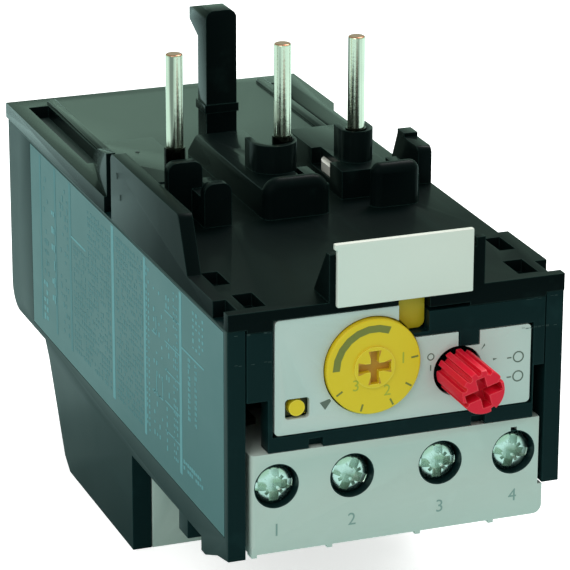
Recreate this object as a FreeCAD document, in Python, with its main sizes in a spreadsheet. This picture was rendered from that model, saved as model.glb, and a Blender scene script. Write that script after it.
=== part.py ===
import FreeCAD, Part
import math
import os
import Sketcher

# Thermal overload relay with three plug-in phase pins on its deck.
# Every piece is drawn about one datum: x = 0 in the middle of the width, y = 0 on the front face
# and z = 0 on the deck. Its Placement then stands it on the row's origin, which is under the
# middle of the relay, on the plane that its foot rests on.

os.makedirs("parts", exist_ok=True)
doc = FreeCAD.newDocument("thermal_overload_relay")
sheet = doc.addObject("Spreadsheet::Sheet", "dims")

AXIS_VECTORS = {"X": FreeCAD.Vector(1, 0, 0), "Y": FreeCAD.Vector(0, 1, 0), "Z": FreeCAD.Vector(0, 0, 1)}


class Size:
    """A value in millimetres or degrees that carries the spreadsheet expression it comes from."""

    def __init__(self, text, value):
        self.text = text
        self.value = value

    @staticmethod
    def of(number):
        """Return a Size for a plain number, and a Size unchanged."""
        if isinstance(number, Size):
            return number
        return Size(repr(float(number)), float(number))

    def _join(self, sign, other, value):
        return Size("(%s %s %s)" % (self.text, sign, other.text), value)

    def __add__(self, other):
        other = Size.of(other)
        return self._join("+", other, self.value + other.value)

    def __radd__(self, other):
        return Size.of(other) + self

    def __sub__(self, other):
        other = Size.of(other)
        return self._join("-", other, self.value - other.value)

    def __rsub__(self, other):
        return Size.of(other) - self

    def __mul__(self, other):
        other = Size.of(other)
        return self._join("*", other, self.value * other.value)

    def __rmul__(self, other):
        return Size.of(other) * self

    def __truediv__(self, other):
        other = Size.of(other)
        return self._join("/", other, self.value / other.value)

    def __neg__(self):
        return Size("(-%s)" % self.text, -self.value)


class Dimensions:
    """Writes each driving dimension into the sheet and keeps it as a Size of the same name."""

    def __init__(self, target):
        self._target = target
        self._row = 0

    def add(self, **values):
        for name, number in values.items():
            self._row += 1
            self._target.set("A%d" % self._row, name)
            self._target.set("B%d" % self._row, str(number))
            self._target.setAlias("B%d" % self._row, name)
            setattr(self, name, Size("dims." + name, float(number)))


d = Dimensions(sheet)
# Body of the relay.
d.add(width=45.0, depth=95.4, height=47.3, deck_thick=2.25, rear_lip=1.1, rear_round=0.3, knob_reach=8.0)
d.add(side_wall=2.35, rear_wall=2.2, floor_thick=2.0, body_height=30.9, skirt_height=33.4)
d.add(rear_corner_radius=3.7, bay_depth=30.0, column_height_right=28.2)
d.add(foot_front=38.5, foot_wall=2.7, foot_inner_rear=64.2, knee_rear=78.8, knee_front=77.0, knee_drop=33.1)
d.add(foot_rear=70.0, foot_rear_low=67.6, foot_rear_drop=45.6)
d.add(column_foot_depth=10.3, column_foot_drop=35.4, column_foot_toe=8.75, column_slope_front=4.2)
d.add(column_slope_drop=33.6, column_front_drop=32.8, hook_front=15.5, hook_rear=19.0, hook_drop=36.0)
# Gaps: a seated joint, a running fit on a radius, free movement, a pressed seat and a screw hole.
# join is how far two blocks of one piece run into each other.
d.add(seat_gap=0.08, run_gap=0.06, free_gap=0.15, proud=0.1)
d.add(grip_gap=0.02, hole_gap=0.05, join=0.1)
# Side label.
d.add(label_front=1.5, label_rear=84.2, label_top=2.75, label_bottom=29.9, label_thick=0.2)
# Deck edges.
d.add(deck_step_inset=1.4, deck_step_front=17.4, deck_step_rear=76.0, deck_step_end=79.5, lip_drop=0.5)
d.add(rib_height=1.6, rib_thick=1.0, rib_front=31.0, rib_rear=92.0)
# Front corner notches and slots of the deck.
d.add(notch_front=1.3, notch_rear=5.4, notch_width=1.7, slot_depth=1.7)
d.add(slot_a_outer=19.6, slot_a_inner=16.9, slot_a_front=1.6, slot_a_rear=6.7)
d.add(slot_b_outer=20.5, slot_b_inner=18.3, slot_b_front=10.6, slot_b_rear=15.6)
# Raised wall and rear flange on the left, post on the right.
d.add(wall_thick=1.9, wall_height=7.1, wall_foot=15.0, wall_front=18.3, wall_rear=46.0, wall_gap_rear=49.2)
d.add(post_inner=19.1, post_outer=21.05, post_front=39.6, post_rear=49.6, post_height=5.2)
d.add(post_step_front=44.6, post_step_rear=47.1, post_step_height=0.6, post_round=1.0)
# Rear guide grooves with one sloping flank, and beads, the same on both sides.
d.add(groove_outer=20.2, groove_floor=18.9, groove_inner=17.2, groove_front=64.0, groove_rear=92.5)
d.add(groove_depth=1.8, bead_outer=17.05, bead_inner=15.5, bead_front=62.0, bead_rear=93.6, bead_height=0.6)
d.add(bead_round=0.5)
# Tapered fin on the left, from the wall's rear gap to the bead.
d.add(fin_front=49.2, fin_mid=56.5, fin_rear=64.0, fin_outer_front=22.1, fin_outer_mid=21.0, fin_outer_rear=19.3)
d.add(fin_thick=1.3, fin_top=6.2, fin_shoulder=4.4, fin_toe=0.7)
# Low raised field on the deck, in front of the left bead.
d.add(field_left=-15.6, field_right=-8.0, field_front=52.0, field_rear=72.2, field_height=0.2)
# Phase towers.
d.add(tower_wall=1.5, tower_corner=1.3, tower_height=5.9, tower_front=32.0, tower_rear=41.0)
d.add(tower_one_left=-14.2, tower_one_right=-10.4, tower_two_left=-5.8, tower_two_right=3.5)
d.add(tower_two_height=5.45, tower_two_corner=2.3)
d.add(tower_three_left=9.6, tower_three_right=16.35, tongue_three_left=7.0, tongue_three_front=37.0)
d.add(tongue_height=3.9, tongue_two_rear=59.5, tongue_three_rear=57.5, tongue_ramp_rear=63.0)
d.add(tongue_two_right=1.1, tongue_three_right=14.3, tongue_ramp_foot=0.7)
d.add(shroud_wall=0.9, shroud_axis=42.0, shroud_rear=44.2, shroud_two_axis=-1.0, shroud_two_radius=3.2)
d.add(shroud_two_height=7.8, shroud_three_axis=10.9, shroud_three_radius=2.3, shroud_three_height=8.3)
d.add(shroud_one_left=-17.5, shroud_one_right=-12.7, shroud_one_front=37.0, shroud_one_height=7.6)
# Latch post behind the middle tower.
d.add(latch_left=-3.4, latch_right=1.05, latch_front=62.0, latch_thick=3.5, latch_height=20.6)
d.add(latch_nose_rear=69.0, latch_nose_top=19.6, latch_nose_low=17.9, latch_under=16.3)
d.add(latch_collar=0.25, latch_collar_low=6.0, latch_collar_top=7.2, latch_round=1.2)
# Tag and its holder.
d.add(tag_left=-8.5, tag_right=9.6, tag_front=-0.95, tag_thick=0.85, tag_bottom=-0.55, tag_top=7.7)
d.add(tag_post_left=-9.3, tag_post_right=11.5, tag_post_width=1.2, tag_post_depth=5.0, tag_post_height=6.2)
d.add(tag_rail_height=5.0, tag_rail_thick=1.0, tag_ear=0.35, tag_ear_height=0.8, tag_post_toe=0.3)
d.add(tag_clip_inset=1.0, tag_clip_drop=2.0)
# Front frame and front plate.
d.add(frame_thick=2.6, frame_bottom=18.9, plate_recess=1.1, plate_thick=1.0, plate_border=0.3)
d.add(plate_left=-16.3, plate_right=18.15, plate_bottom=16.8, plate_top_left=1.6, plate_step_x=0.1)
d.add(plate_top_mid=6.1, bar_left=8.2, bar_right=11.1, bar_bottom=8.0, plate_top_right=6.25)
d.add(pocket_left=-17.2, pocket_right=18.6, pocket_top=11.9, bar_notch=1.9, bar_notch_left=-10.85)
d.add(bar_notch_right=11.05, bar_notch_depth=1.0, bar_notch_top=17.7, plate_corner=0.6)
# Current setting dial.
d.add(dial_x=-3.44, dial_z=-9.0, dial_radius=6.29, dial_proud=0.6, dial_hole_gap=0.16, dial_ring_radius=2.7)
d.add(dial_ring_height=0.25, dial_cross=2.2, dial_cross_width=1.15, dial_cross_depth=0.8, spindle_radius=2.3)
d.add(spindle_end=15.6, cam_radius=3.0, cam_offset=0.5, cam_front=8.0, cam_thick=3.0, dial_rim=0.25)
# Reset and mode knob.
d.add(knob_x=8.2, knob_z=-11.3, knob_radius=2.93, knob_hole=3.3, knob_back=0.05, knob_bore_depth=5.6)
d.add(flute_count=4, flute_radius=0.6, flute_start=30.0, flute_pitch=45.0)
d.add(knob_cross_long=2.5, knob_cross_short=2.0, knob_cross_width=1.2, knob_cross_depth=2.2, knob_cross_turn=16.0)
d.add(plunger_radius=1.5, plunger_end=15.0, collar_radius=2.6, collar_front=4.6, collar_thick=1.0)
d.add(knob_edge=0.35)
# Test button.
d.add(test_x=-13.36, test_z=-13.4, test_radius=1.05, test_face=0.2, test_collar_radius=1.7, test_rod_radius=0.9)
d.add(test_hole_left=-14.95, test_hole_right=-11.7, test_hole_top=12.1, test_hole_bottom=14.8)
d.add(test_hole_corner=0.5, test_flange_thick=0.9)
# Return springs of the knob and the test button.
d.add(spring_gap=0.1, reset_coil_radius=2.05, reset_wire_radius=0.22, test_coil_radius=1.35)
d.add(test_wire_radius=0.16, spring_turns=6)
# Trip flag.
d.add(flag_left=0.1, flag_right=4.0, flag_top=0.85, flag_bottom=5.3, flag_front=1.3, flag_thick=1.0)
d.add(flag_stem_width=2.0, flag_stem_height=1.6, flag_stem_low=4.9, flag_corner=1.0, flag_travel=1.2)
# Mechanism chassis.
d.add(chassis_front=12.4, chassis_thick=2.0, chassis_top=2.45, chassis_bottom=17.9)
# Auxiliary terminals.
d.add(aux_left=-19.5, aux_right=19.55, aux_top=18.98, aux_bottom=32.37, aux_depth=26.0, aux_lug=0.65)
d.add(aux_lug_top=28.3, aux_lug_depth=22.0, aux_lug_radius=1.2, aux_wall=1.2)
d.add(aux_screw_inner=5.98, aux_screw_outer=16.08)
d.add(aux_screw_drop=23.4, aux_well_radius=2.98, chamber_front=4.15, chamber_half=2.6, chamber_top=20.4)
d.add(chamber_rear=11.05, nib_height=0.4, nib_half=0.35, nib_depth=1.6, aux_core_front=13.0, aux_notch=0.9)
d.add(aux_head_radius=2.7, aux_head_front=2.3, aux_head_thick=1.9, aux_shank_radius=1.5, aux_screw_end=12.2)
d.add(clamp_thick=0.9, clamp_half=2.45, clamp_top=20.6, clamp_bottom=26.3, slot_width=0.75, slot_sink=1.0)
d.add(cross_width=0.5, head_dome=0.5, contact_thick=0.9, contact_half=2.3, contact_bottom=27.0)
# Contact tongues and the rocker that opens and closes them.
d.add(tongue_thick=0.7, tongue_rear=21.0, tongue_turn=16.6, contact_inner=9.8, contact_outer=12.2)
d.add(contact_pad=0.9, button_radius=0.7, button_thick=0.45)
d.add(rocker_drop=14.6, rocker_front=17.2, rocker_depth=3.2, rocker_half=13.8, rocker_thick=1.6)
d.add(rocker_hub=2.0, rocker_pin_radius=0.9, rocker_arm=9.0, rocker_arm_half=0.6, rocker_pin_end=23.0)
d.add(rocker_knob_radius=0.9, bridge_thick=0.5, bridge_closed_gap=0.05, bridge_open_gap=1.4, bridge_half=0.95)
# Trip slider.
d.add(slider_thick=1.1, slider_arm_left=-8.2, slider_arm_width=3.0, slider_front=17.6, slider_front_depth=5.0)
d.add(slider_bar_front=59.2, slider_bar_depth=4.2, slider_bar_half=16.5, fork_gap=0.1, fork_wall=1.2)
d.add(finger_width=1.4, finger_depth=2.2, finger_drop=16.5, finger_gap=0.1, fork_drop=6.6)
# Compensation strip beside the dial's cam.
d.add(strip_thick=0.5, strip_width=5.6, strip_drop=1.0, strip_bottom=15.0)
# Phase pins.
d.add(pin_radius=1.15, pin_root_radius=1.4, pin_root_top=8.5, pin_top=21.2, pin_bottom=8.0)
d.add(pin_y=41.5, pin_one_x=-15.0, pin_two_x=0.15, pin_three_x=10.7, pin_edge=0.25, bush_radius=3.3, bush_top=2.9)
d.add(bush_bottom=6.0, bush_length=3.6, bush_sill=1.6)
# Bimetal strips, heater windings and their carrier.
d.add(phase_pitch=13.0, bimetal_thick=0.9, bimetal_height=6.0, bimetal_drop=15.0, bimetal_front=60.0)
d.add(bimetal_rear=90.0, coil_radius=3.7, coil_wire=0.4, coil_front=66.0, coil_pitch=2.8, coil_turns=6)
d.add(carrier_front=87.0, carrier_rear=93.1, carrier_half=18.5, carrier_top=9.0)
# Line and load straps.
d.add(strap_half=1.6, strap_thick=1.0, line_strap_front=39.6, line_strap_turn=57.0, strap_inset=0.35)
d.add(load_strap_front=53.0, load_strap_low=44.2)
d.add(strap_slot_gap=0.4)
# Load terminals.
d.add(load_half=19.7, load_depth_rear=63.8, load_bottom=47.3, load_top=33.45, load_screw_drop=38.2)
d.add(load_well_radius=3.2, load_chamber_front=45.6, load_chamber_half=3.5, load_chamber_top=35.0)
d.add(load_head_radius=2.95, load_head_front=43.4, load_head_thick=3.0, load_shank_radius=1.9)
d.add(load_screw_end=58.0)
d.add(load_clamp_half=3.2, load_clamp_top=35.3, load_clamp_bottom=41.2, load_clamp_thick=1.1)

HALF = d.width / 2
INNER = HALF - d.side_wall
DECK_BOTTOM = -d.deck_thick
MID_SHIFT = (d.knob_reach - d.depth - d.rear_lip) / 2
MIRRORED = (-1, 1)
PHASE_X = (-d.phase_pitch, Size.of(0), d.phase_pitch)
PIN_X = (d.pin_one_x, d.pin_two_x, d.pin_three_x)
# How far the short arms of a screw's slot reach, as a share of the head's radius.
CROSS_SHARE = 0.62
AUX_X = (-d.aux_screw_outer, -d.aux_screw_inner, d.aux_screw_inner, d.aux_screw_outer)


def bind(thing, path, size):
    """Tie one property of an object to the sheet."""
    thing.setExpression(path, Size.of(size).text)


def new_body(label):
    """Start a sub-part: a body that its Placement stands on the row's origin."""
    body = doc.addObject("PartDesign::Body", label)
    body.Label = label
    body.Placement = FreeCAD.Placement(FreeCAD.Vector(0, MID_SHIFT.value, d.height.value), FreeCAD.Rotation())
    bind(body, "Placement.Base.y", MID_SHIFT)
    bind(body, "Placement.Base.z", d.height)
    return body


def new_sketch(body, plane, name, level):
    """Add a sketch parallel to one origin plane, at a level along that plane's row axis."""
    role = {"X": "YZ_Plane", "Y": "XZ_Plane", "Z": "XY_Plane"}[plane]
    sketch = body.newObject("Sketcher::SketchObject", name + "_sketch")
    support = [part for part in body.Origin.OriginFeatures if part.Role == role][0]
    sketch.AttachmentSupport = [(support, "")]
    sketch.MapMode = "FlatFace"
    along = -Size.of(level) if plane == "Y" else Size.of(level)
    sketch.AttachmentOffset = FreeCAD.Placement(FreeCAD.Vector(0, 0, along.value), FreeCAD.Rotation())
    bind(sketch, "AttachmentOffset.Base.z", along)
    return sketch


def draw_outline(sketch, points):
    """Draw a closed outline whose corners are fixed from the origin by sizes of the sheet."""
    corners = [FreeCAD.Vector(Size.of(a).value, Size.of(b).value, 0) for a, b in points]
    first = sketch.GeometryCount
    count = len(corners)
    for index, corner in enumerate(corners):
        sketch.addGeometry(Part.LineSegment(corner, corners[(index + 1) % count]), False)
    joins = [Sketcher.Constraint("Coincident", first + i, 2, first + (i + 1) % count, 1) for i in range(count)]
    sketch.addConstraint(joins)
    for index, point in enumerate(points):
        for kind, size in zip(("DistanceX", "DistanceY"), point):
            size = Size.of(size)
            place = Sketcher.Constraint(kind, -1, 1, first + index, 1, size.value)
            number = sketch.addConstraint(place)
            bind(sketch, "Constraints[%d]" % number, size)


def draw_circle(sketch, centre, radius):
    """Draw a circle whose centre and radius come from the sheet."""
    across, up = (Size.of(size) for size in centre)
    radius = Size.of(radius)
    middle = FreeCAD.Vector(across.value, up.value, 0)
    number = sketch.addGeometry(Part.Circle(middle, AXIS_VECTORS["Z"], radius.value), False)
    bind(sketch, "Constraints[%d]" % sketch.addConstraint(
        Sketcher.Constraint("DistanceX", -1, 1, number, 3, across.value)), across)
    bind(sketch, "Constraints[%d]" % sketch.addConstraint(
        Sketcher.Constraint("DistanceY", -1, 1, number, 3, up.value)), up)
    bind(sketch, "Constraints[%d]" % sketch.addConstraint(
        Sketcher.Constraint("Radius", number, radius.value)), radius)


def extrude(body, sketch, plane, name, span, cut):
    """Pad or pocket a sketch over a span of the plane's row axis, and check that it took."""
    before = body.Shape.Volume if cut else 0
    feature = body.newObject("PartDesign::Pocket" if cut else "PartDesign::Pad", name)
    feature.Profile = sketch
    feature.Type = "Length"
    length = Size.of(span[1]) - Size.of(span[0])
    feature.Length = length.value
    bind(feature, "Length", length)
    feature.Reversed = cut != (plane == "Y")
    doc.recompute()
    if cut and body.Shape.Volume >= before - 1e-6:
        raise ValueError("%s: pocket %s removes nothing" % (body.Label, name))
    return feature


def prism(body, name, plane, points, span, cut=False):
    """Extrude one outline along X, Y or Z: corners are the two other axes' values in X, Y, Z order."""
    sketch = new_sketch(body, plane, name, span[0])
    draw_outline(sketch, points)
    return extrude(body, sketch, plane, name, span, cut)


def drum(body, name, plane, centre, radius, span, cut=False):
    """Extrude one circle along X, Y or Z."""
    sketch = new_sketch(body, plane, name, span[0])
    draw_circle(sketch, centre, radius)
    return extrude(body, sketch, plane, name, span, cut)


def rectangle(low, high):
    """Return the four corners between a low and a high corner."""
    return [low, (high[0], low[1]), high, (low[0], high[1])]


def block(body, name, x_span, y_span, z_span, cut=False):
    """Add or remove a box."""
    corners = rectangle((x_span[0], y_span[0]), (x_span[1], y_span[1]))
    return prism(body, name, "Z", corners, z_span, cut)


def edges_along(shape, axis, wanted):
    """Name the straight edges along an axis whose middle a test accepts."""
    names = []
    for number, edge in enumerate(shape.Edges, 1):
        if len(edge.Vertexes) != 2:
            continue
        chord = edge.Vertexes[1].Point - edge.Vertexes[0].Point
        if abs(abs(chord.dot(AXIS_VECTORS[axis])) - edge.Length) > 1e-6:
            continue
        if wanted(edge.CenterOfMass):
            names.append("Edge%d" % number)
    return names


def fillet(body, name, radius, names):
    """Round the named edges of the body's last feature."""
    if not names:
        raise ValueError("%s: no edges for %s" % (body.Label, name))
    last = body.Tip
    feature = body.newObject("PartDesign::Fillet", name)
    feature.Base = (last, names)
    bind(feature, "Radius", radius)
    doc.recompute()
    return feature


def near(value, size, slack=0.02):
    """Tell whether a number is a size's value."""
    return abs(value - Size.of(size).value) < slack


def lower_housing():
    """The black moulding below the deck: sides, floor, rear wall and the hollow foot."""
    body = new_body("lower_housing")
    side = [
        (0, DECK_BOTTOM), (d.depth, DECK_BOTTOM), (d.depth, -d.body_height), (d.knee_rear, -d.body_height),
        (d.knee_front, -d.knee_drop), (d.foot_rear, -d.foot_rear_drop), (d.foot_rear_low, -d.height),
        (d.foot_front, -d.height), (d.foot_front, -d.skirt_height), (d.hook_rear, -d.skirt_height),
        (d.hook_rear, -d.hook_drop), (d.hook_front, -d.hook_drop), (d.hook_front, -d.skirt_height),
        (d.column_foot_depth, -d.skirt_height), (d.column_foot_depth, -d.column_foot_drop),
        (d.column_foot_toe, -d.column_foot_drop), (d.column_slope_front, -d.column_slope_drop),
        (0, -d.column_front_drop),
    ]
    prism(body, "sides", "X", side, (-HALF, HALF))
    lower_rear = edges_along(body.Tip.Shape, "X", lambda m: near(m.y, d.depth) and near(m.z, -d.body_height))
    fillet(body, "rear_corner", d.rear_corner_radius, lower_rear)
    inside = (-INNER, INNER)
    block(body, "upper_hollow", inside, (-1, d.depth - d.rear_wall), (d.floor_thick - d.body_height, 1), cut=True)
    block(body, "terminal_bay", inside, (-1, d.bay_depth), (-d.height, d.floor_thick - d.body_height), cut=True)
    foot_inside = d.foot_wall - HALF
    block(body, "foot_hollow", (foot_inside, -foot_inside), (d.foot_front - 1, d.foot_inner_rear),
          (-d.height - 1, -d.skirt_height), cut=True)
    block(body, "right_column_end", (INNER - 1, HALF + 1), (-1, d.bay_depth), (-d.height, -d.column_height_right),
          cut=True)
    for x in PHASE_X:
        slot = d.strap_half + d.strap_slot_gap
        block(body, "strap_slot", (x - slot, x + slot),
              (d.load_strap_front - d.strap_slot_gap, d.load_strap_front + d.strap_thick + d.strap_slot_gap),
              (-d.height, d.floor_thick - d.body_height + 1), cut=True)
    block(body, "label_seat", (-HALF - 1, d.label_thick - HALF),
          (d.label_front - d.seat_gap, d.label_rear + d.seat_gap),
          (-d.label_bottom - d.seat_gap, -d.label_top + d.seat_gap), cut=True)
    return body


def side_label():
    """The thin data label let into the left side."""
    body = new_body("side_label")
    block(body, "sheet", (-HALF, d.label_thick - HALF), (d.label_front, d.label_rear),
          (-d.label_bottom, -d.label_top))
    return body


def tower(body, left, right, height, corner, corner_left):
    """A phase tower's front wall with a rounded top."""
    start = d.tower_front
    block(body, "tower_front", (left, right), (start, start + d.tower_wall), (0, height))
    tops = edges_along(body.Tip.Shape, "Y", lambda m: (near(m.x, left) or near(m.x, right))
                       and near(m.z, height) and near(m.y, start + d.tower_wall / 2))
    fillet(body, "tower_corners", corner, tops)
    if corner_left:
        upright = edges_along(body.Tip.Shape, "Z", lambda m: near(m.x, left) and near(m.y, start))
        fillet(body, "tower_upright", d.tower_corner, upright)


def half_sleeve(body, axis_x, radius, top):
    """A guard round a pin: a half ring at the front with two straight flanks, open to the rear."""
    inner = radius - d.shroud_wall
    drum(body, "sleeve", "Z", (axis_x, d.shroud_axis), radius, (0, top))
    block(body, "sleeve_flanks", (axis_x - radius, axis_x + radius), (d.shroud_axis, d.shroud_rear), (0, top))
    drum(body, "sleeve_bore", "Z", (axis_x, d.shroud_axis), inner, (d.tongue_height, top + 1), cut=True)
    block(body, "sleeve_mouth", (axis_x - inner, axis_x + inner),
          (d.shroud_axis, d.shroud_axis + radius * 2), (d.tongue_height, top + 1), cut=True)


def tongue(body, left, right, front, rear):
    """The raised platform behind a tower."""
    block(body, "tongue", (left, right), (front, rear), (0, d.tongue_height))


def top_cover():
    """The black deck with its walls, phase towers, pin guards, latch post and tag holder."""
    body = new_body("top_cover")
    step = HALF - d.deck_step_inset
    rear = d.depth + d.rear_lip
    outline = [(-HALF, -d.proud), (HALF, -d.proud), (HALF, d.deck_step_front), (step, d.deck_step_front),
               (step, d.deck_step_rear), (HALF, d.deck_step_end), (HALF, rear), (-HALF, rear)]
    prism(body, "deck", "Z", outline, (DECK_BOTTOM, 0))
    corner = edges_along(body.Tip.Shape, "X", lambda m: near(m.y, rear) and near(m.z, 0))
    fillet(body, "rear_edge", d.rear_round, corner)
    block(body, "front_lip_left", (-INNER + d.free_gap, d.plate_left - d.plate_border), (-d.proud, d.frame_thick),
          (DECK_BOTTOM - d.lip_drop, DECK_BOTTOM))
    block(body, "front_lip_right", (d.tag_right, INNER - d.free_gap), (-d.proud, d.frame_thick),
          (DECK_BOTTOM - d.lip_drop, DECK_BOTTOM))
    for side in MIRRORED:
        outer = side * (INNER - d.free_gap)
        inner = outer - side * d.rib_thick
        spans = sorted((outer, inner), key=lambda size: size.value)
        block(body, "rib", spans, (d.rib_front, d.rib_rear), (DECK_BOTTOM - d.rib_height, DECK_BOTTOM))
    cut_front_slots(body)
    raise_left_wall(body)
    raise_right_post(body)
    add_rear_guides(body)
    add_towers(body)
    add_latch_post(body)
    add_tag_holder(body)
    block(body, "plate_rebate", (d.plate_left - d.plate_border, d.plate_step_x + d.plate_border),
          (-1, d.plate_recess), (DECK_BOTTOM - 1, -d.plate_top_left + d.free_gap), cut=True)
    block(body, "flag_window", (d.flag_left - d.free_gap, d.flag_right + d.free_gap),
          (-1, d.flag_front + d.flag_thick + d.flag_travel),
          (DECK_BOTTOM - 1, -d.flag_top + d.free_gap), cut=True)
    for x in PIN_X:
        drum(body, "pin_hole", "Z", (x, d.pin_y), d.pin_root_radius + d.free_gap,
             (DECK_BOTTOM - 1, d.pin_top), cut=True)
    return body


def cut_front_slots(body):
    """Cut the corner notches and the blind slots along the deck's front ends."""
    for side in MIRRORED:
        def across(outer, inner):
            return sorted((side * outer, side * inner), key=lambda size: Size.of(size).value)
        block(body, "corner_notch", across(HALF + 1, HALF - d.notch_width), (d.notch_front, d.notch_rear),
              (DECK_BOTTOM - 1, 1), cut=True)
        block(body, "slot_a", across(d.slot_a_outer, d.slot_a_inner), (d.slot_a_front, d.slot_a_rear),
              (-d.slot_depth, 1), cut=True)
        block(body, "slot_b", across(d.slot_b_outer, d.slot_b_inner), (d.slot_b_front, d.slot_b_rear),
              (-d.slot_depth, 1), cut=True)


def raise_left_wall(body):
    """The raised wall on the left edge, and the gap behind it."""
    outline = [(d.wall_foot, -d.deck_thick / 2), (d.wall_rear, -d.deck_thick / 2), (d.wall_rear, d.wall_height),
               (d.wall_front, d.wall_height), (d.wall_foot, 0)]
    prism(body, "left_wall", "X", outline, (-HALF, d.wall_thick - HALF))
    ends = edges_along(body.Tip.Shape, "X", lambda m: near(m.z, d.wall_height) and m.x < -INNER.value)
    fillet(body, "left_wall_ends", d.wall_thick / 2, ends)
    block(body, "wall_gap", (-HALF - 1, d.wall_thick - HALF), (d.wall_rear, d.wall_gap_rear),
          (DECK_BOTTOM - 1, 1), cut=True)


def raise_right_post(body):
    """The stepped post on the right edge."""
    outline = [
        (d.post_front, -d.deck_thick / 2), (d.post_rear, -d.deck_thick / 2), (d.post_rear, 0),
        (d.post_step_rear, d.post_height), (d.post_step_rear, d.post_height + d.post_step_height),
        (d.post_step_front, d.post_height + d.post_step_height), (d.post_step_front, d.post_height),
        (d.post_front, d.post_height),
    ]
    prism(body, "right_post", "X", outline, (d.post_inner, d.post_outer))
    front = edges_along(body.Tip.Shape, "X", lambda m: near(m.y, d.post_front) and near(m.z, d.post_height)
                        and m.x > d.post_inner.value)
    fillet(body, "post_corner", d.post_round, front)


def add_rear_guides(body):
    """The grooves and guide beads that run along the rear of the deck."""
    for side in MIRRORED:
        def across(outer, inner):
            return sorted((side * outer, side * inner), key=lambda size: size.value)
        groove = [(side * d.groove_inner, 1), (side * d.groove_inner, -d.groove_depth),
                  (side * d.groove_floor, -d.groove_depth), (side * d.groove_outer, 0),
                  (side * d.groove_outer, 1)]
        prism(body, "groove", "Y", groove, (d.groove_front, d.groove_rear), cut=True)
        block(body, "bead", across(d.bead_outer, d.bead_inner), (d.bead_front, d.bead_rear),
              (-d.deck_thick / 2, d.bead_height))
        ridge = edges_along(body.Tip.Shape, "Y", lambda m: near(m.z, d.bead_height) and m.x * side > 0
                            and m.y > d.bead_front.value)
        fillet(body, "bead_edges", d.bead_round, ridge)
    block(body, "field", (d.field_left, d.field_right), (d.field_front, d.field_rear),
          (-d.deck_thick / 2, d.field_height))
    raise_left_fin(body)


def raise_left_fin(body):
    """The fin behind the left wall's gap, which leans in and falls away to the rear."""
    thick = d.fin_thick
    plan = [(-d.fin_outer_front, d.fin_front), (-d.fin_outer_mid, d.fin_mid), (-d.fin_outer_rear, d.fin_rear),
            (thick - d.fin_outer_rear, d.fin_rear), (thick - d.fin_outer_mid, d.fin_mid),
            (thick - d.fin_outer_front, d.fin_front)]
    prism(body, "fin", "Z", plan, (-d.deck_thick / 2, d.fin_top))
    over = [(d.fin_front - 1, d.fin_top), (d.fin_mid, d.fin_shoulder), (d.fin_rear + 1, d.fin_toe),
            (d.fin_rear + 1, d.fin_top + 1), (d.fin_front - 1, d.fin_top + 1)]
    prism(body, "fin_fall", "X", over, (-HALF, 1 - d.bead_outer), cut=True)


def add_towers(body):
    """The three phase towers with their platforms and pin guards."""
    tongue(body, d.tower_two_left, d.tongue_two_right, d.tower_front + d.tower_wall / 2, d.tongue_two_rear)
    tongue(body, d.tongue_three_left, d.tongue_three_right, d.tongue_three_front, d.tongue_three_rear)
    ramp = [(d.tongue_two_rear - 1, 0), (d.tongue_ramp_rear, 0), (d.tongue_ramp_rear, d.tongue_ramp_foot),
            (d.tongue_two_rear, d.tongue_height), (d.tongue_two_rear - 1, d.tongue_height)]
    prism(body, "ramp", "X", ramp, (d.tower_two_left, d.tongue_two_right))
    half_sleeve(body, d.shroud_two_axis, d.shroud_two_radius, d.shroud_two_height)
    half_sleeve(body, d.shroud_three_axis, d.shroud_three_radius, d.shroud_three_height)
    guard = (d.shroud_one_front, d.shroud_one_front + d.tower_wall)
    block(body, "guard_one", (d.shroud_one_left, d.shroud_one_right), guard, (0, d.shroud_one_height))
    tops = edges_along(body.Tip.Shape, "Y", lambda m: near(m.z, d.shroud_one_height)
                       and near(m.y, d.shroud_one_front + d.tower_wall / 2))
    fillet(body, "guard_one_corners", d.tower_corner, tops)
    tower(body, d.tower_one_left, d.tower_one_right, d.tower_height, d.tower_corner, corner_left=False)
    tower(body, d.tower_two_left, d.tower_two_right, d.tower_two_height, d.tower_two_corner, corner_left=True)
    tower(body, d.tower_three_left, d.tower_three_right, d.tower_height, d.tower_corner, corner_left=True)
    flank = (d.tower_front + d.tower_wall / 2, d.tower_rear)
    block(body, "flank_one", (d.tower_one_right - d.tower_wall, d.tower_one_right), flank, (0, d.tongue_height))
    block(body, "flank_one_left", (d.tower_one_left, d.tower_one_left + d.tower_wall), flank,
          (0, d.tongue_height))
    block(body, "flank_two", (d.tower_two_right - d.tower_wall, d.tower_two_right), flank, (0, d.tongue_height))
    block(body, "flank_three", (d.tower_three_right - d.tower_wall, d.tower_three_right), flank,
          (0, d.tongue_height))
    bush_room = d.bush_radius + d.seat_gap
    bush_rear = d.pin_y + d.bush_length
    bush_seat = (DECK_BOTTOM - 1, d.bush_top)
    drum(body, "bush_seat_front", "Z", (d.pin_three_x, d.pin_y), bush_room, bush_seat, cut=True)
    drum(body, "bush_seat_rear", "Z", (d.pin_three_x, bush_rear), bush_room, bush_seat, cut=True)
    block(body, "bush_seat_waist", (d.pin_three_x - bush_room, d.pin_three_x + bush_room), (d.pin_y, bush_rear),
          bush_seat, cut=True)
    block(body, "bush_window", (d.tongue_three_left - 1, d.pin_three_x - d.shroud_three_radius),
          (d.pin_y, bush_rear + bush_room), (d.bush_sill, d.tongue_height + 1), cut=True)


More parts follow.
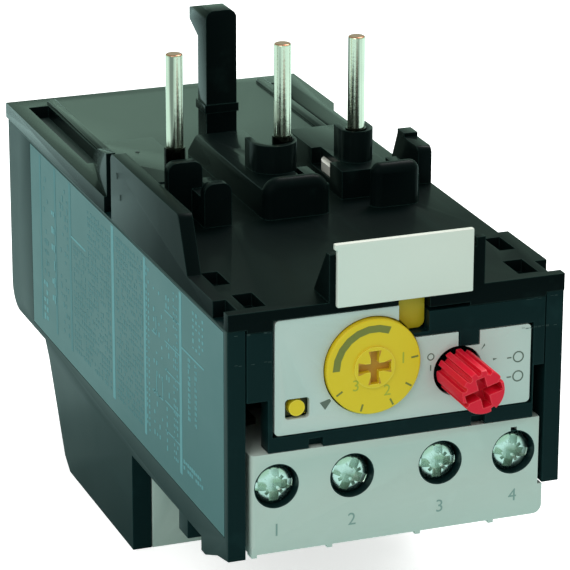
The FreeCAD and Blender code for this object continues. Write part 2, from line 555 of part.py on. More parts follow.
def add_latch_post(body):
    """The hooked latch post behind the middle tower."""
    rear = d.latch_front + d.latch_thick
    outline = [(d.latch_front, -d.deck_thick / 2), (rear, -d.deck_thick / 2), (rear, d.latch_under),
               (d.latch_nose_rear, d.latch_nose_low), (d.latch_nose_rear, d.latch_nose_top),
               (rear, d.latch_height), (d.latch_front, d.latch_height)]
    prism(body, "latch", "X", outline, (d.latch_left, d.latch_right))
    tops = edges_along(body.Tip.Shape, "Y", lambda m: near(m.z, d.latch_height))
    fillet(body, "latch_corners", d.latch_round, tops)
    block(body, "latch_collar_ledge", (d.latch_left - d.latch_collar, d.latch_right + d.latch_collar),
          (d.latch_front - d.latch_collar / 2, rear + d.latch_collar), (d.latch_collar_low, d.latch_collar_top))


def add_tag_holder(body):
    """The two braced posts and the rail that carry the marker tag."""
    tag_back = d.tag_front + d.tag_thick
    for left in (d.tag_post_left, d.tag_post_right - d.tag_post_width):
        brace = [(tag_back, -d.deck_thick / 2), (d.tag_post_depth, -d.deck_thick / 2),
                 (d.tag_post_depth, d.tag_post_toe),
                 (tag_back + d.tag_rail_thick, d.tag_post_height), (tag_back, d.tag_post_height)]
        prism(body, "tag_brace", "X", brace, (left, left + d.tag_post_width))
    block(body, "tag_rail", (d.tag_post_left, d.tag_post_right), (tag_back, tag_back + d.tag_rail_thick),
          (-d.deck_thick / 2, d.tag_rail_height))


def marker_tag():
    """The blank white tag that clips over the holder."""
    body = new_body("marker_tag")
    gap = d.seat_gap / 2
    span = (d.tag_front, d.tag_front + d.tag_thick - gap)
    block(body, "face", (d.tag_left, d.tag_right), span, (d.tag_bottom, d.tag_top))
    block(body, "ear", (d.tag_left - d.tag_ear, d.tag_left + d.tag_clip_inset), span,
          (d.tag_top - d.tag_ear_height, d.tag_top))
    hook_low = d.tag_rail_height + d.seat_gap
    back = d.tag_front + d.tag_thick + d.tag_rail_thick
    block(body, "clip_top", (d.tag_left + d.tag_clip_inset, d.tag_right - d.tag_clip_inset),
          (d.tag_front + d.tag_thick / 2, back + d.tag_rail_thick),
          (hook_low, hook_low + d.tag_ear_height))
    block(body, "clip_back", (d.tag_left + d.tag_clip_inset, d.tag_right - d.tag_clip_inset),
          (back + gap, back + d.tag_rail_thick),
          (hook_low - d.tag_clip_drop, hook_low + d.join))
    return body


def front_frame():
    """The black frame between the front columns that carries the plate, the dial and the knob."""
    body = new_body("front_frame")
    side = INNER - d.free_gap
    top = DECK_BOTTOM - d.lip_drop - d.seat_gap
    block(body, "panel", (-side, side), (0, d.frame_thick), (-d.frame_bottom, top))
    border = d.plate_border
    block(body, "plate_seat", (d.plate_left - border, d.plate_right + border), (-1, d.plate_recess),
          (-d.plate_bottom - d.free_gap, -d.plate_top_right + d.free_gap), cut=True)
    block(body, "plate_seat_top", (d.plate_left - border, d.plate_step_x + border), (-1, d.plate_recess),
          (-d.plate_top_right, 0), cut=True)
    block(body, "plate_seat_mid", (d.plate_step_x, d.bar_left), (-1, d.plate_recess),
          (-d.plate_top_right, -d.plate_top_mid + d.free_gap), cut=True)
    block(body, "bar", (d.bar_left + d.free_gap, d.bar_right - d.free_gap), (0, d.frame_thick),
          (-d.bar_bottom, -d.plate_top_mid))
    for name, span in (("pocket_left", (-side - 1, d.pocket_left)), ("pocket_right", (d.pocket_right, side + 1))):
        block(body, name, span, (-1, d.frame_thick + 1), (-d.frame_bottom - 1, -d.pocket_top), cut=True)
    for middle in (d.bar_notch_left, d.bar_notch_right):
        block(body, "bar_notch", (middle - d.bar_notch / 2, middle + d.bar_notch / 2), (-1, d.bar_notch_depth),
              (-d.frame_bottom - 1, -d.bar_notch_top), cut=True)
    drum(body, "dial_seat", "Y", (d.dial_x, d.dial_z), d.dial_radius + d.dial_hole_gap,
         (-1, d.plate_recess), cut=True)
    through = (-1, d.frame_thick + 1)
    drum(body, "spindle_hole", "Y", (d.dial_x, d.dial_z), d.spindle_radius + d.run_gap, through, cut=True)
    drum(body, "knob_hole", "Y", (d.knob_x, d.knob_z), d.knob_hole, through, cut=True)
    block(body, "button_hole", (d.test_hole_left, d.test_hole_right), through,
          (-d.test_hole_bottom, -d.test_hole_top), cut=True)
    block(body, "flag_window", (d.flag_left - d.free_gap, d.flag_right + d.free_gap), through,
          (-d.flag_bottom - d.free_gap, 0), cut=True)
    return body


def front_plate():
    """The pale grey scale plate round the dial, the knob and the test button."""
    body = new_body("front_plate")
    outline = [
        (d.plate_left, -d.plate_bottom), (d.plate_right, -d.plate_bottom), (d.plate_right, -d.plate_top_right),
        (d.bar_right, -d.plate_top_right), (d.bar_right, -d.bar_bottom - d.free_gap),
        (d.bar_left, -d.bar_bottom - d.free_gap), (d.bar_left, -d.plate_top_mid),
        (d.plate_step_x, -d.plate_top_mid), (d.plate_step_x, -d.plate_top_left),
        (d.plate_left, -d.plate_top_left),
    ]
    prism(body, "plate", "Y", outline, (d.plate_recess - d.plate_thick, d.plate_recess))
    corners = edges_along(body.Tip.Shape, "Y", lambda m: near(m.x, d.plate_left)
                          or near(m.x, d.plate_right))
    fillet(body, "plate_corners", d.plate_corner, corners)
    through = (-1, d.plate_recess + 1)
    drum(body, "dial_hole", "Y", (d.dial_x, d.dial_z), d.dial_radius + d.dial_hole_gap, through, cut=True)
    drum(body, "knob_hole", "Y", (d.knob_x, d.knob_z), d.knob_hole, through, cut=True)
    block(body, "test_hole", (d.test_hole_left, d.test_hole_right), through,
          (-d.test_hole_bottom, -d.test_hole_top), cut=True)
    hole = edges_along(body.Tip.Shape, "Y", lambda m: near(m.x, d.test_hole_left) or near(m.x, d.test_hole_right))
    fillet(body, "test_hole_corners", d.test_hole_corner, hole)
    return body


def current_dial():
    """The yellow setting dial on its spindle, with a cross slot for a screwdriver."""
    body = new_body("current_dial")
    centre = (d.dial_x, d.dial_z)
    back = d.plate_recess - d.free_gap / 2
    drum(body, "disc", "Y", centre, d.dial_radius, (-d.dial_proud, back))
    front_rim = [name for name, edge in circles(body) if near(edge.CenterOfMass.y, -d.dial_proud)]
    fillet(body, "rim", d.dial_rim, front_rim)
    drum(body, "spindle", "Y", centre, d.spindle_radius, (back, d.spindle_end))
    face = -d.dial_proud - d.dial_ring_height
    drum(body, "ring", "Y", centre, d.dial_ring_radius, (face, -d.dial_proud))
    cross_slot(body, centre, d.dial_cross, d.dial_cross_width, face, d.dial_cross_depth)
    return body


def circles(body):
    """Pair each full-circle edge of a body's last feature with its name."""
    found = []
    for number, edge in enumerate(body.Tip.Shape.Edges, 1):
        if edge.Closed and len(edge.Vertexes) == 1 and edge.Length > 0:
            found.append(("Edge%d" % number, edge))
    return found


def cosine(angle):
    """The cosine of a Size in degrees."""
    return Size("cos(%s)" % angle.text, math.cos(math.radians(angle.value)))


def sine(angle):
    """The sine of a Size in degrees."""
    return Size("sin(%s)" % angle.text, math.sin(math.radians(angle.value)))


def turned_slot(body, name, centre, halves, angle, span):
    """Cut a rectangle of two half lengths, turned about its centre, that opens towards the front."""
    corners = []
    for across, up in ((1, 1), (-1, 1), (-1, -1), (1, -1)):
        u = halves[0] * across
        w = halves[1] * up
        corners.append((centre[0] + u * cosine(angle) - w * sine(angle),
                        centre[1] + u * sine(angle) + w * cosine(angle)))
    prism(body, name, "Y", corners, span, cut=True)


def cross_slot(body, centre, reach, width, face, depth):
    """Cut a cross-shaped driver slot that opens towards the front."""
    across, up = centre
    half = width / 2
    span = (face - 1, face + depth)
    block(body, "slot_across", (across - reach, across + reach), span, (up - half, up + half), cut=True)
    block(body, "slot_upright", (across - half, across + half), span, (up - reach, up + reach), cut=True)


def dial_cam():
    """The eccentric cam on the dial's spindle."""
    body = new_body("dial_cam")
    span = (d.cam_front, d.cam_front + d.cam_thick)
    drum(body, "lobe", "Y", (d.dial_x, d.dial_z + d.cam_offset), d.cam_radius, span)
    drum(body, "bore", "Y", (d.dial_x, d.dial_z), d.spindle_radius + d.grip_gap, (0, d.spindle_end), cut=True)
    return body


def reset_knob():
    """The red fluted knob that selects the reset mode when turned and resets when pushed."""
    body = new_body("reset_knob")
    centre = (d.knob_x, d.knob_z)
    drum(body, "grip", "Y", centre, d.knob_radius, (-d.knob_reach, d.knob_back))
    front_rim = [name for name, edge in circles(body) if near(edge.CenterOfMass.y, -d.knob_reach)]
    fillet(body, "grip_edge", d.knob_edge, front_rim)
    sketch = new_sketch(body, "Y", "flute", -d.knob_reach - 1)
    draw_circle(sketch, (d.knob_x + d.knob_radius * cosine(d.flute_start),
                         d.knob_z + d.knob_radius * sine(d.flute_start)), d.flute_radius)
    flute = extrude(body, sketch, "Y", "flute", (-d.knob_reach - 1, d.knob_back + 1), True)
    axis_sketch = new_sketch(body, "Y", "flute_axis", 0)
    draw_circle(axis_sketch, centre, d.plunger_radius)
    pattern = body.newObject("PartDesign::PolarPattern", "flutes")
    pattern.Originals = [flute]
    pattern.Axis = (axis_sketch, ["N_Axis"])
    bind(pattern, "Angle", d.flute_pitch * (d.flute_count - 1))
    bind(pattern, "Occurrences", d.flute_count)
    body.Tip = pattern
    doc.recompute()
    span = (-d.knob_reach - 1, d.knob_cross_depth - d.knob_reach)
    half = d.knob_cross_width / 2
    turned_slot(body, "slot_long", centre, (d.knob_cross_long, half), d.knob_cross_turn, span)
    turned_slot(body, "slot_short", centre, (half, d.knob_cross_short), d.knob_cross_turn, span)
    drum(body, "bore", "Y", centre, d.plunger_radius + d.run_gap,
         (d.knob_back - d.knob_bore_depth, d.knob_back + 1), cut=True)
    return body


def reset_plunger():
    """The rod that the knob turns on and pushes, with a collar for its spring."""
    body = new_body("reset_plunger")
    centre = (d.knob_x, d.knob_z)
    start = d.knob_back - d.knob_bore_depth + d.seat_gap
    drum(body, "rod", "Y", centre, d.plunger_radius, (start, d.plunger_end))
    drum(body, "collar", "Y", centre, d.collar_radius, (d.collar_front, d.collar_front + d.collar_thick))
    return body


def test_button():
    """The yellow test button with its collar and rod."""
    body = new_body("test_button")
    centre = (d.test_x, d.test_z)
    drum(body, "cap", "Y", centre, d.test_radius, (d.test_face, d.collar_front))
    drum(body, "collar", "Y", centre, d.test_collar_radius, (d.collar_front, d.collar_front + d.collar_thick))
    block(body, "flange", (d.test_hole_left + d.free_gap, d.test_hole_right - d.free_gap),
          (d.plate_recess + d.free_gap, d.plate_recess + d.free_gap + d.test_flange_thick),
          (d.free_gap - d.test_hole_bottom, -d.test_hole_top - d.free_gap))
    drum(body, "rod", "Y", centre, d.test_rod_radius, (d.collar_front, d.plunger_end))
    return body


def coil(label, centre, radius, wire, start, length, turns):
    """A round wire wound about an axis parallel to Y, from its start towards the rear."""
    across, up = centre
    helix = doc.addObject("Part::Helix", label + "_path")
    bind(helix, "Radius", radius)
    bind(helix, "Pitch", length / turns)
    bind(helix, "Height", length)
    ring = doc.addObject("Part::Circle", label + "_section")
    bind(ring, "Radius", wire)
    upright = FreeCAD.Rotation(AXIS_VECTORS["X"], 90)
    ring.Placement = FreeCAD.Placement(FreeCAD.Vector(radius.value, 0, 0), upright)
    bind(ring, "Placement.Base.x", radius)
    doc.recompute()
    winding = doc.addObject("Part::Sweep", label)
    winding.Label = label
    winding.Sections = [ring]
    winding.Spine = (helix, ["Edge1"])
    winding.Solid = True
    winding.Frenet = True
    turn = FreeCAD.Rotation(AXIS_VECTORS["X"], -90)
    middle = FreeCAD.Vector(across.value, (start + MID_SHIFT).value, (up + d.height).value)
    winding.Placement = FreeCAD.Placement(middle, turn)
    bind(winding, "Placement.Base.x", across)
    bind(winding, "Placement.Base.y", start + MID_SHIFT)
    bind(winding, "Placement.Base.z", up + d.height)
    doc.recompute()
    return winding


def return_springs():
    """The compression springs behind the knob's collar and the test button's collar."""
    start = d.collar_front + d.collar_thick + d.spring_gap
    room = d.chassis_front - d.spring_gap - start
    for label, centre, radius, wire in (
            ("reset_spring", (d.knob_x, d.knob_z), d.reset_coil_radius, d.reset_wire_radius),
            ("test_spring", (d.test_x, d.test_z), d.test_coil_radius, d.test_wire_radius)):
        coil(label, centre, radius, wire, start + wire, room - wire * 2, d.spring_turns)


def trip_flag():
    """The yellow flag that comes forward in its window after a trip."""
    body = new_body("trip_flag")
    front = d.flag_front
    block(body, "face", (d.flag_left, d.flag_right), (front, front + d.flag_thick), (-d.flag_bottom, -d.flag_top))
    low = edges_along(body.Tip.Shape, "Y", lambda m: near(m.z, -d.flag_bottom))
    fillet(body, "low_corners", d.flag_corner, low)
    drum(body, "dial_relief", "Y", (d.dial_x, d.dial_z), d.dial_radius + d.dial_hole_gap,
         (0, front + d.flag_thick + 1), cut=True)
    middle = (d.flag_left + d.flag_right) / 2
    half = d.flag_stem_width / 2
    block(body, "stem", (middle - half, middle + half), (front + d.flag_thick, d.plunger_end),
          (-d.flag_stem_low, d.flag_stem_height - d.flag_stem_low))
    return body


def mechanism_chassis():
    """The inner plate that guides the spindle, the plunger, the test rod and the flag's stem."""
    body = new_body("mechanism_chassis")
    side = INNER - d.seat_gap
    span = (d.chassis_front, d.chassis_front + d.chassis_thick)
    block(body, "plate", (-side, side), span, (-d.chassis_bottom, -d.chassis_top))
    through = (0, d.plunger_end + 1)
    for name, centre, radius in (
            ("spindle_guide", (d.dial_x, d.dial_z), d.spindle_radius),
            ("plunger_guide", (d.knob_x, d.knob_z), d.plunger_radius),
            ("test_guide", (d.test_x, d.test_z), d.test_rod_radius)):
        drum(body, name, "Y", centre, radius + d.run_gap, through, cut=True)
    middle = (d.flag_left + d.flag_right) / 2
    half = d.flag_stem_width / 2 + d.free_gap
    block(body, "flag_guide", (middle - half, middle + half), through,
          (-d.flag_stem_low - d.free_gap, d.flag_stem_height - d.flag_stem_low + d.free_gap), cut=True)
    drum(body, "rocker_pin_hole", "Y", (0, -d.rocker_drop), d.rocker_pin_radius + d.grip_gap, through, cut=True)
    return body


def terminal_block(body, places, well, chamber, clearance):
    """Cut screw wells from the front and clamp chambers from below."""
    for x in places:
        drum(body, "well", "Y", (x, well["z"]), well["radius"], (well["front"], chamber["rear"]), cut=True)
        block(body, "chamber", (x - chamber["half"], x + chamber["half"]), (chamber["front"], chamber["rear"]),
              (chamber["bottom"], chamber["top"]), cut=True)
        drum(body, "screw_end", "Y", (x, well["z"]), clearance["radius"], (chamber["rear"] - 1, clearance["end"]),
             cut=True)


def aux_terminal_block():
    """The pale grey block across the front that holds the four auxiliary terminals."""
    body = new_body("aux_terminal_block")
    block(body, "block", (d.aux_left, d.aux_right), (0, d.aux_depth), (-d.aux_bottom, -d.aux_top))
    lug_right = d.aux_right + d.aux_lug
    block(body, "lug", (d.aux_right - 1, lug_right), (0, d.aux_lug_depth), (-d.aux_bottom, -d.aux_lug_top))
    toe = edges_along(body.Tip.Shape, "Y", lambda m: near(m.x, lug_right) and near(m.z, -d.aux_bottom))
    fillet(body, "lug_corner", d.aux_lug_radius, toe)
    upright = edges_along(body.Tip.Shape, "Z", lambda m: near(m.x, d.aux_left) and near(m.y, 0))
    fillet(body, "left_corner", d.plate_corner, upright)
    terminal_block(body, AUX_X, {"z": -d.aux_screw_drop, "radius": d.aux_well_radius, "front": -1},
                   {"half": d.chamber_half, "front": d.chamber_front, "rear": d.chamber_rear,
                    "bottom": -d.aux_bottom - 1, "top": -d.chamber_top},
                   {"radius": d.aux_shank_radius + d.free_gap, "end": d.aux_screw_end + d.free_gap * 2})
    for x in AUX_X:
        neck = d.contact_pad + d.free_gap
        block(body, "tongue_slot", (x - neck, x + neck),
              (d.chamber_rear - d.contact_thick - d.free_gap, d.chamber_rear), (-d.chamber_top - 1, 0), cut=True)
    block(body, "rear_hollow", (d.aux_left + d.aux_wall, d.aux_right - d.aux_wall),
          (d.aux_core_front, d.aux_depth + 1), (-d.aux_bottom - 1, -d.aux_top - d.aux_wall), cut=True)
    for x in AUX_X:
        block(body, "nib", (x - d.chamber_half - d.nib_half * 2, x - d.chamber_half), (0, d.nib_depth),
              (-d.aux_bottom - d.nib_height, -d.aux_bottom + 1))
    notch = d.aux_notch / 2
    block(body, "last_well_notch", (d.aux_screw_outer - notch, d.aux_screw_outer + notch), (-1, d.chamber_front),
          (-d.aux_screw_drop, d.aux_well_radius + notch - d.aux_screw_drop), cut=True)
    return body


def pan_screw(body, centre, head, shank, end):
    """One screw: a domed head with a plain and a cross slot, and a shank towards the rear."""
    across, up = centre
    front, thick, radius = head
    drum(body, "head", "Y", centre, radius, (front, front + thick))
    rim = [name for name, edge in circles(body)
           if near(edge.CenterOfMass.y, front) and near(edge.CenterOfMass.x, across)]
    fillet(body, "dome", d.head_dome, rim)
    drum(body, "shank", "Y", centre, shank, (front + thick, end))
    half = d.slot_width / 2
    span = (front - 1, front + d.slot_sink)
    block(body, "slot", (across - radius, across + radius), span, (up - half, up + half), cut=True)
    thin = d.cross_width / 2
    reach = radius * CROSS_SHARE
    block(body, "cross", (across - thin, across + thin), span, (up - reach, up + reach), cut=True)


def aux_screws():
    """The four screws of the auxiliary terminals."""
    body = new_body("aux_screws")
    for x in AUX_X:
        pan_screw(body, (x, -d.aux_screw_drop), (d.aux_head_front, d.aux_head_thick, d.aux_head_radius),
                  d.aux_shank_radius, d.aux_screw_end)
    return body


def load_screws():
    """The three screws of the load terminals."""
    body = new_body("load_screws")
    for x in PHASE_X:
        pan_screw(body, (x, -d.load_screw_drop), (d.load_head_front, d.load_head_thick, d.load_head_radius),
                  d.load_shank_radius, d.load_screw_end)
    return body


def clamp_plates(label, places, half, front, thick, top, bottom, screw_z, screw_radius):
    """The loose square plates that the terminal screws press on the wires."""
    body = new_body(label)
    for x in places:
        block(body, "plate", (x - half, x + half), (front, front + thick), (-bottom, -top))
        drum(body, "hole", "Y", (x, screw_z), screw_radius + d.free_gap, (front - 1, front + thick + 1), cut=True)
    return body


def aux_clamps():
    """The four wire clamps of the auxiliary terminals."""
    front = d.aux_head_front + d.aux_head_thick + d.grip_gap
    return clamp_plates("aux_clamps", AUX_X, d.clamp_half, front, d.clamp_thick, d.clamp_top, d.clamp_bottom,
                        -d.aux_screw_drop, d.aux_shank_radius)


def load_clamps():
    """The three wire clamps of the load terminals."""
    front = d.load_head_front + d.load_head_thick + d.grip_gap
    return clamp_plates("load_clamps", PHASE_X, d.load_clamp_half, front, d.load_clamp_thick, d.load_clamp_top,
                        d.load_clamp_bottom, -d.load_screw_drop, d.load_shank_radius)


def aux_contacts():
    """The four fixed contacts: a plate behind each screw, and a tongue that turns in towards the rocker."""
    body = new_body("aux_contacts")
    rear = d.chamber_rear - d.seat_gap
    level = d.seat_gap - d.aux_top
    for x, pad_x in zip(AUX_X, (-d.contact_outer, -d.contact_inner, d.contact_inner, d.contact_outer)):
        block(body, "plate", (x - d.contact_half, x + d.contact_half), (rear - d.contact_thick, rear),
              (-d.contact_bottom, -d.chamber_top - d.join))
        block(body, "neck", (x - d.contact_pad, x + d.contact_pad), (rear - d.contact_thick, rear),
              (-d.chamber_top - d.join * 2, level + d.tongue_thick))
        block(body, "tongue", (x - d.contact_pad, x + d.contact_pad), (rear - d.join, d.tongue_turn),
              (level, level + d.tongue_thick))
        ends = sorted((x, pad_x), key=lambda size: size.value)
        block(body, "turn", (ends[0] - d.contact_pad, ends[1] + d.contact_pad),
              (d.tongue_turn - d.contact_pad * 2, d.tongue_turn), (level, level + d.tongue_thick))
        block(body, "pad", (pad_x - d.contact_pad, pad_x + d.contact_pad),
              (d.tongue_turn - d.join, d.tongue_rear), (level, level + d.tongue_thick))
        middle = d.rocker_front + d.rocker_depth / 2
        drum(body, "button", "Z", (pad_x, middle), d.button_radius,
             (level + d.tongue_thick, level + d.tongue_thick + d.button_thick))
        drum(body, "screw_hole", "Y", (x, -d.aux_screw_drop), d.aux_shank_radius + d.hole_gap,
             (0, d.aux_depth), cut=True)
    return body


def rocker_pin():
    """The pin that the contact rocker turns on, pressed into the chassis."""
    body = new_body("rocker_pin")
    drum(body, "pin", "Y", (0, -d.rocker_drop), d.rocker_pin_radius, (d.chassis_front, d.rocker_pin_end))
    return body


def contact_rocker():
    """The rocker that carries both contact bridges and an upright arm for the slider's fork."""
    body = new_body("contact_rocker")
    span = (d.rocker_front, d.rocker_front + d.rocker_depth)
    half_thick = d.rocker_thick / 2
    block(body, "beam", (-d.rocker_half, d.rocker_half), span,
          (-d.rocker_drop - half_thick, half_thick - d.rocker_drop))
    drum(body, "hub", "Y", (0, -d.rocker_drop), d.rocker_hub, span)
    arm_top = d.rocker_arm - d.rocker_drop
    block(body, "arm", (-d.rocker_arm_half, d.rocker_arm_half), span, (-d.rocker_drop, arm_top))
    drum(body, "knob", "Y", (0, arm_top), d.rocker_knob_radius, span)
    drum(body, "bore", "Y", (0, -d.rocker_drop), d.rocker_pin_radius + d.run_gap, (0, d.rocker_pin_end), cut=True)
    return body


def contact_bridges():
    """The two bridging contacts under the rocker: the right one closed, the left one open at rest."""
    body = new_body("contact_bridges")
    middle = d.rocker_front + d.rocker_depth / 2
    fixed_top = d.seat_gap - d.aux_top + d.tongue_thick + d.button_thick
    beam_low = -d.rocker_drop - d.rocker_thick / 2
    for side, gap in ((-1, d.bridge_open_gap), (1, d.bridge_closed_gap)):
        level = fixed_top + gap + d.button_thick
        ends = sorted((side * (d.contact_inner - d.contact_pad), side * (d.contact_outer + d.contact_pad)),
                      key=lambda size: size.value)
        block(body, "bridge", ends, (middle - d.bridge_half, middle + d.bridge_half),
              (level, level + d.bridge_thick))
        hanger = side * (d.contact_inner + d.contact_outer) / 2
        block(body, "hanger", (hanger - d.bridge_half / 2, hanger + d.bridge_half / 2),
              (middle - d.bridge_half / 2, middle + d.bridge_half / 2),
              (level + d.bridge_thick / 2, beam_low))
        for place in (d.contact_inner, d.contact_outer):
            drum(body, "button", "Z", (side * place, middle), d.button_radius,
                 (level - d.button_thick, level))
    return body


def trip_slider():
    """The white slider: fingers on the bimetal strips, a long arm and a fork on the rocker's arm."""
    body = new_body("trip_slider")
    top = DECK_BOTTOM - d.free_gap
    plate = (top - d.slider_thick, top)
    arm_right = d.slider_arm_left + d.slider_arm_width
    bar_rear = d.slider_bar_front + d.slider_bar_depth
    fork_inside = d.rocker_knob_radius + d.fork_gap
    fork_reach = fork_inside + d.fork_wall
    front_rear = d.slider_front + d.slider_front_depth
    outline = [
        (d.slider_arm_left, d.slider_front), (fork_reach, d.slider_front), (fork_reach, front_rear),
        (arm_right, front_rear), (arm_right, d.slider_bar_front), (d.slider_bar_half, d.slider_bar_front),
        (d.slider_bar_half, bar_rear), (-d.slider_bar_half, bar_rear), (-d.slider_bar_half, d.slider_bar_front),
        (d.slider_arm_left, d.slider_bar_front),
    ]
    prism(body, "plate", "Z", outline, plate)
    fork_front = d.slider_front
    for side in MIRRORED:
        ends = sorted((side * fork_inside, side * fork_reach), key=lambda size: size.value)
        block(body, "fork", ends, (fork_front, fork_front + d.rocker_depth / 2),
              (-d.fork_drop, plate[0] + d.join))
    finger_front = d.bimetal_front + d.free_gap
    for x in PHASE_X:
        right = x - d.bimetal_thick / 2 - d.finger_gap
        block(body, "finger", (right - d.finger_width, right), (finger_front, finger_front + d.finger_depth),
              (-d.finger_drop, plate[0] + d.join))
    return body


def compensation_strip():
    """The upright temperature-compensation strip beside the dial's cam, held in the chassis."""
    body = new_body("compensation_strip")
    left = d.dial_x + d.cam_offset + d.cam_radius + d.free_gap
    block(body, "strip", (left, left + d.strip_thick),
          (d.chassis_front - d.strip_width, d.chassis_front - d.seat_gap),
          (-d.strip_bottom, -d.flag_bottom - d.strip_drop))
    return body


def phase_pins():
    """The three tinned plug-in pins."""
    pins = []
    for number, x in enumerate(PIN_X, 1):
        body = new_body("phase_pin_%d" % number)
        drum(body, "root", "Z", (x, d.pin_y), d.pin_root_radius, (-d.pin_bottom, d.pin_root_top))
        drum(body, "pin", "Z", (x, d.pin_y), d.pin_radius, (d.pin_root_top, d.pin_top))
        top = [name for name, edge in circles(body) if near(edge.CenterOfMass.z, d.pin_top)]
        fillet(body, "end", d.pin_edge, top)
        pins.append(body)
    return pins


def pin_bushes():
    """The white insulating bushes round the pins, below the deck and in the towers."""
    body = new_body("pin_bushes")
    for x, top in zip(PIN_X, (DECK_BOTTOM, DECK_BOTTOM, d.bush_top)):
        low = -d.bush_bottom
        high = top - d.seat_gap
        rear = d.pin_y + d.bush_length
        radius = d.bush_radius
        drum(body, "collar", "Z", (x, d.pin_y), radius, (low, high))
        drum(body, "tail", "Z", (x, rear), radius, (low, high))
        block(body, "waist", (x - radius, x + radius), (d.pin_y, rear), (low, high))
        drum(body, "bore", "Z", (x, d.pin_y), d.pin_root_radius + d.grip_gap, (low - 1, high + 1), cut=True)
    return body


def line_straps():
    """The three copper straps from the pins back to the heater windings."""
    body = new_body("line_straps")
    top = -d.pin_bottom
    level = (top - d.strap_thick, top)
    rear = d.coil_front + d.strap_thick
    coil_top = d.coil_radius + d.coil_wire - d.bimetal_drop
    for pin_x, x in zip(PIN_X, PHASE_X):
        left, right = sorted((pin_x, x), key=lambda size: Size.of(size).value)
        beside_finger = (x - d.strap_inset, x - d.strap_inset + d.strap_half * 2)
        block(body, "pin_end", (left - d.strap_half, right + d.strap_half),
              (d.line_strap_front, d.line_strap_turn), level)
        block(body, "coil_end", beside_finger, (d.line_strap_turn - 1, rear), level)
        block(body, "leg", beside_finger, (d.coil_front, rear), (coil_top + d.seat_gap, top))
    return body


def load_straps():
    """The three copper straps from the heater windings along the floor to the load terminals."""
    body = new_body("load_straps")
    floor = d.floor_thick - d.body_height + d.seat_gap
    rear = d.coil_front + d.coil_pitch * d.coil_turns
    for x in PHASE_X:
        across = (x - d.strap_half, x + d.strap_half)
        coil_low = -d.bimetal_drop - d.coil_radius - d.coil_wire
        block(body, "riser", across, (rear - d.strap_thick, rear), (floor, coil_low - d.seat_gap))
        block(body, "run", across, (d.load_strap_front, rear), (floor, floor + d.strap_thick))
        block(body, "drop", across, (d.load_strap_front, d.load_strap_front + d.strap_thick),
              (-d.load_strap_low, floor + d.strap_thick))
        drum(body, "screw_hole", "Y", (x, -d.load_screw_drop), d.load_shank_radius + d.hole_gap,
             (d.foot_front, d.load_screw_end), cut=True)
        block(body, "end_slot", (x - d.load_shank_radius - d.hole_gap,
                                  x + d.load_shank_radius + d.hole_gap),
              (d.load_strap_front - 1, d.load_strap_front + 2),
              (-d.load_strap_low - 1, -d.load_screw_drop), cut=True)
    return body


def bimetal_strips():
    """The three bimetal strips, fixed at the rear and free at the slider."""
    for number, x in enumerate(PHASE_X, 1):
        body = new_body("bimetal_strip_%d" % number)
        half = d.bimetal_height / 2
        block(body, "strip", (x - d.bimetal_thick / 2, x + d.bimetal_thick / 2),
              (d.bimetal_front, d.bimetal_rear), (-d.bimetal_drop - half, half - d.bimetal_drop))


def heater_windings():
    """The three heater windings round the bimetal strips."""
    for number, x in enumerate(PHASE_X, 1):
        coil("heater_winding_%d" % number, (x, -d.bimetal_drop), d.coil_radius, d.coil_wire,
             d.coil_front, d.coil_pitch * d.coil_turns, d.coil_turns)


def bimetal_carrier():
    """The comb against the rear wall that holds the fixed ends of the strips."""
    body = new_body("bimetal_carrier")
    floor = d.floor_thick - d.body_height + d.seat_gap
    block(body, "bar", (-d.carrier_half, d.carrier_half), (d.carrier_front, d.carrier_rear),
          (floor, -d.carrier_top))
    half = d.bimetal_height / 2 + d.grip_gap
    for x in PHASE_X:
        block(body, "slot", (x - d.bimetal_thick / 2 - d.grip_gap, x + d.bimetal_thick / 2 + d.grip_gap),
              (d.carrier_front - 1, d.bimetal_rear + d.grip_gap), (-d.bimetal_drop - half, half - d.bimetal_drop),
              cut=True)
    return body


def load_terminal_block():
    """The pale grey block in the foot that holds the three load terminals."""
    body = new_body("load_terminal_block")
    block(body, "block", (-d.load_half, d.load_half), (d.foot_front, d.load_depth_rear),
          (-d.load_bottom, -d.load_top))
    terminal_block(body, PHASE_X,
                   {"z": -d.load_screw_drop, "radius": d.load_well_radius, "front": d.foot_front - 1},
                   {"half": d.load_chamber_half, "front": d.load_chamber_front,
                    "rear": d.load_strap_front + d.strap_thick + d.seat_gap, "bottom": -d.load_bottom - 1,
                    "top": -d.load_chamber_top},
                   {"radius": d.load_shank_radius + d.free_gap, "end": d.load_screw_end + d.free_gap * 2})
    for x in PHASE_X:
        slot = d.strap_half + d.free_gap
        block(body, "strap_slot", (x - slot, x + slot),
              (d.load_strap_front - d.seat_gap, d.load_strap_front + d.strap_thick + d.seat_gap),
              (-d.load_chamber_top - 1, 0), cut=True)
    return body


BUILDERS = (
    lower_housing, side_label, top_cover, marker_tag, front_frame, front_plate, current_dial, dial_cam,
    reset_knob, reset_plunger, test_button, return_springs, trip_flag, mechanism_chassis, compensation_strip,
    aux_terminal_block, aux_screws, aux_clamps, aux_contacts, rocker_pin, contact_rocker, contact_bridges,
    trip_slider, phase_pins, pin_bushes, line_straps, load_straps, bimetal_strips, heater_windings,
    bimetal_carrier, load_terminal_block, load_screws, load_clamps,
)
for build in BUILDERS:
    build()
doc.recompute()

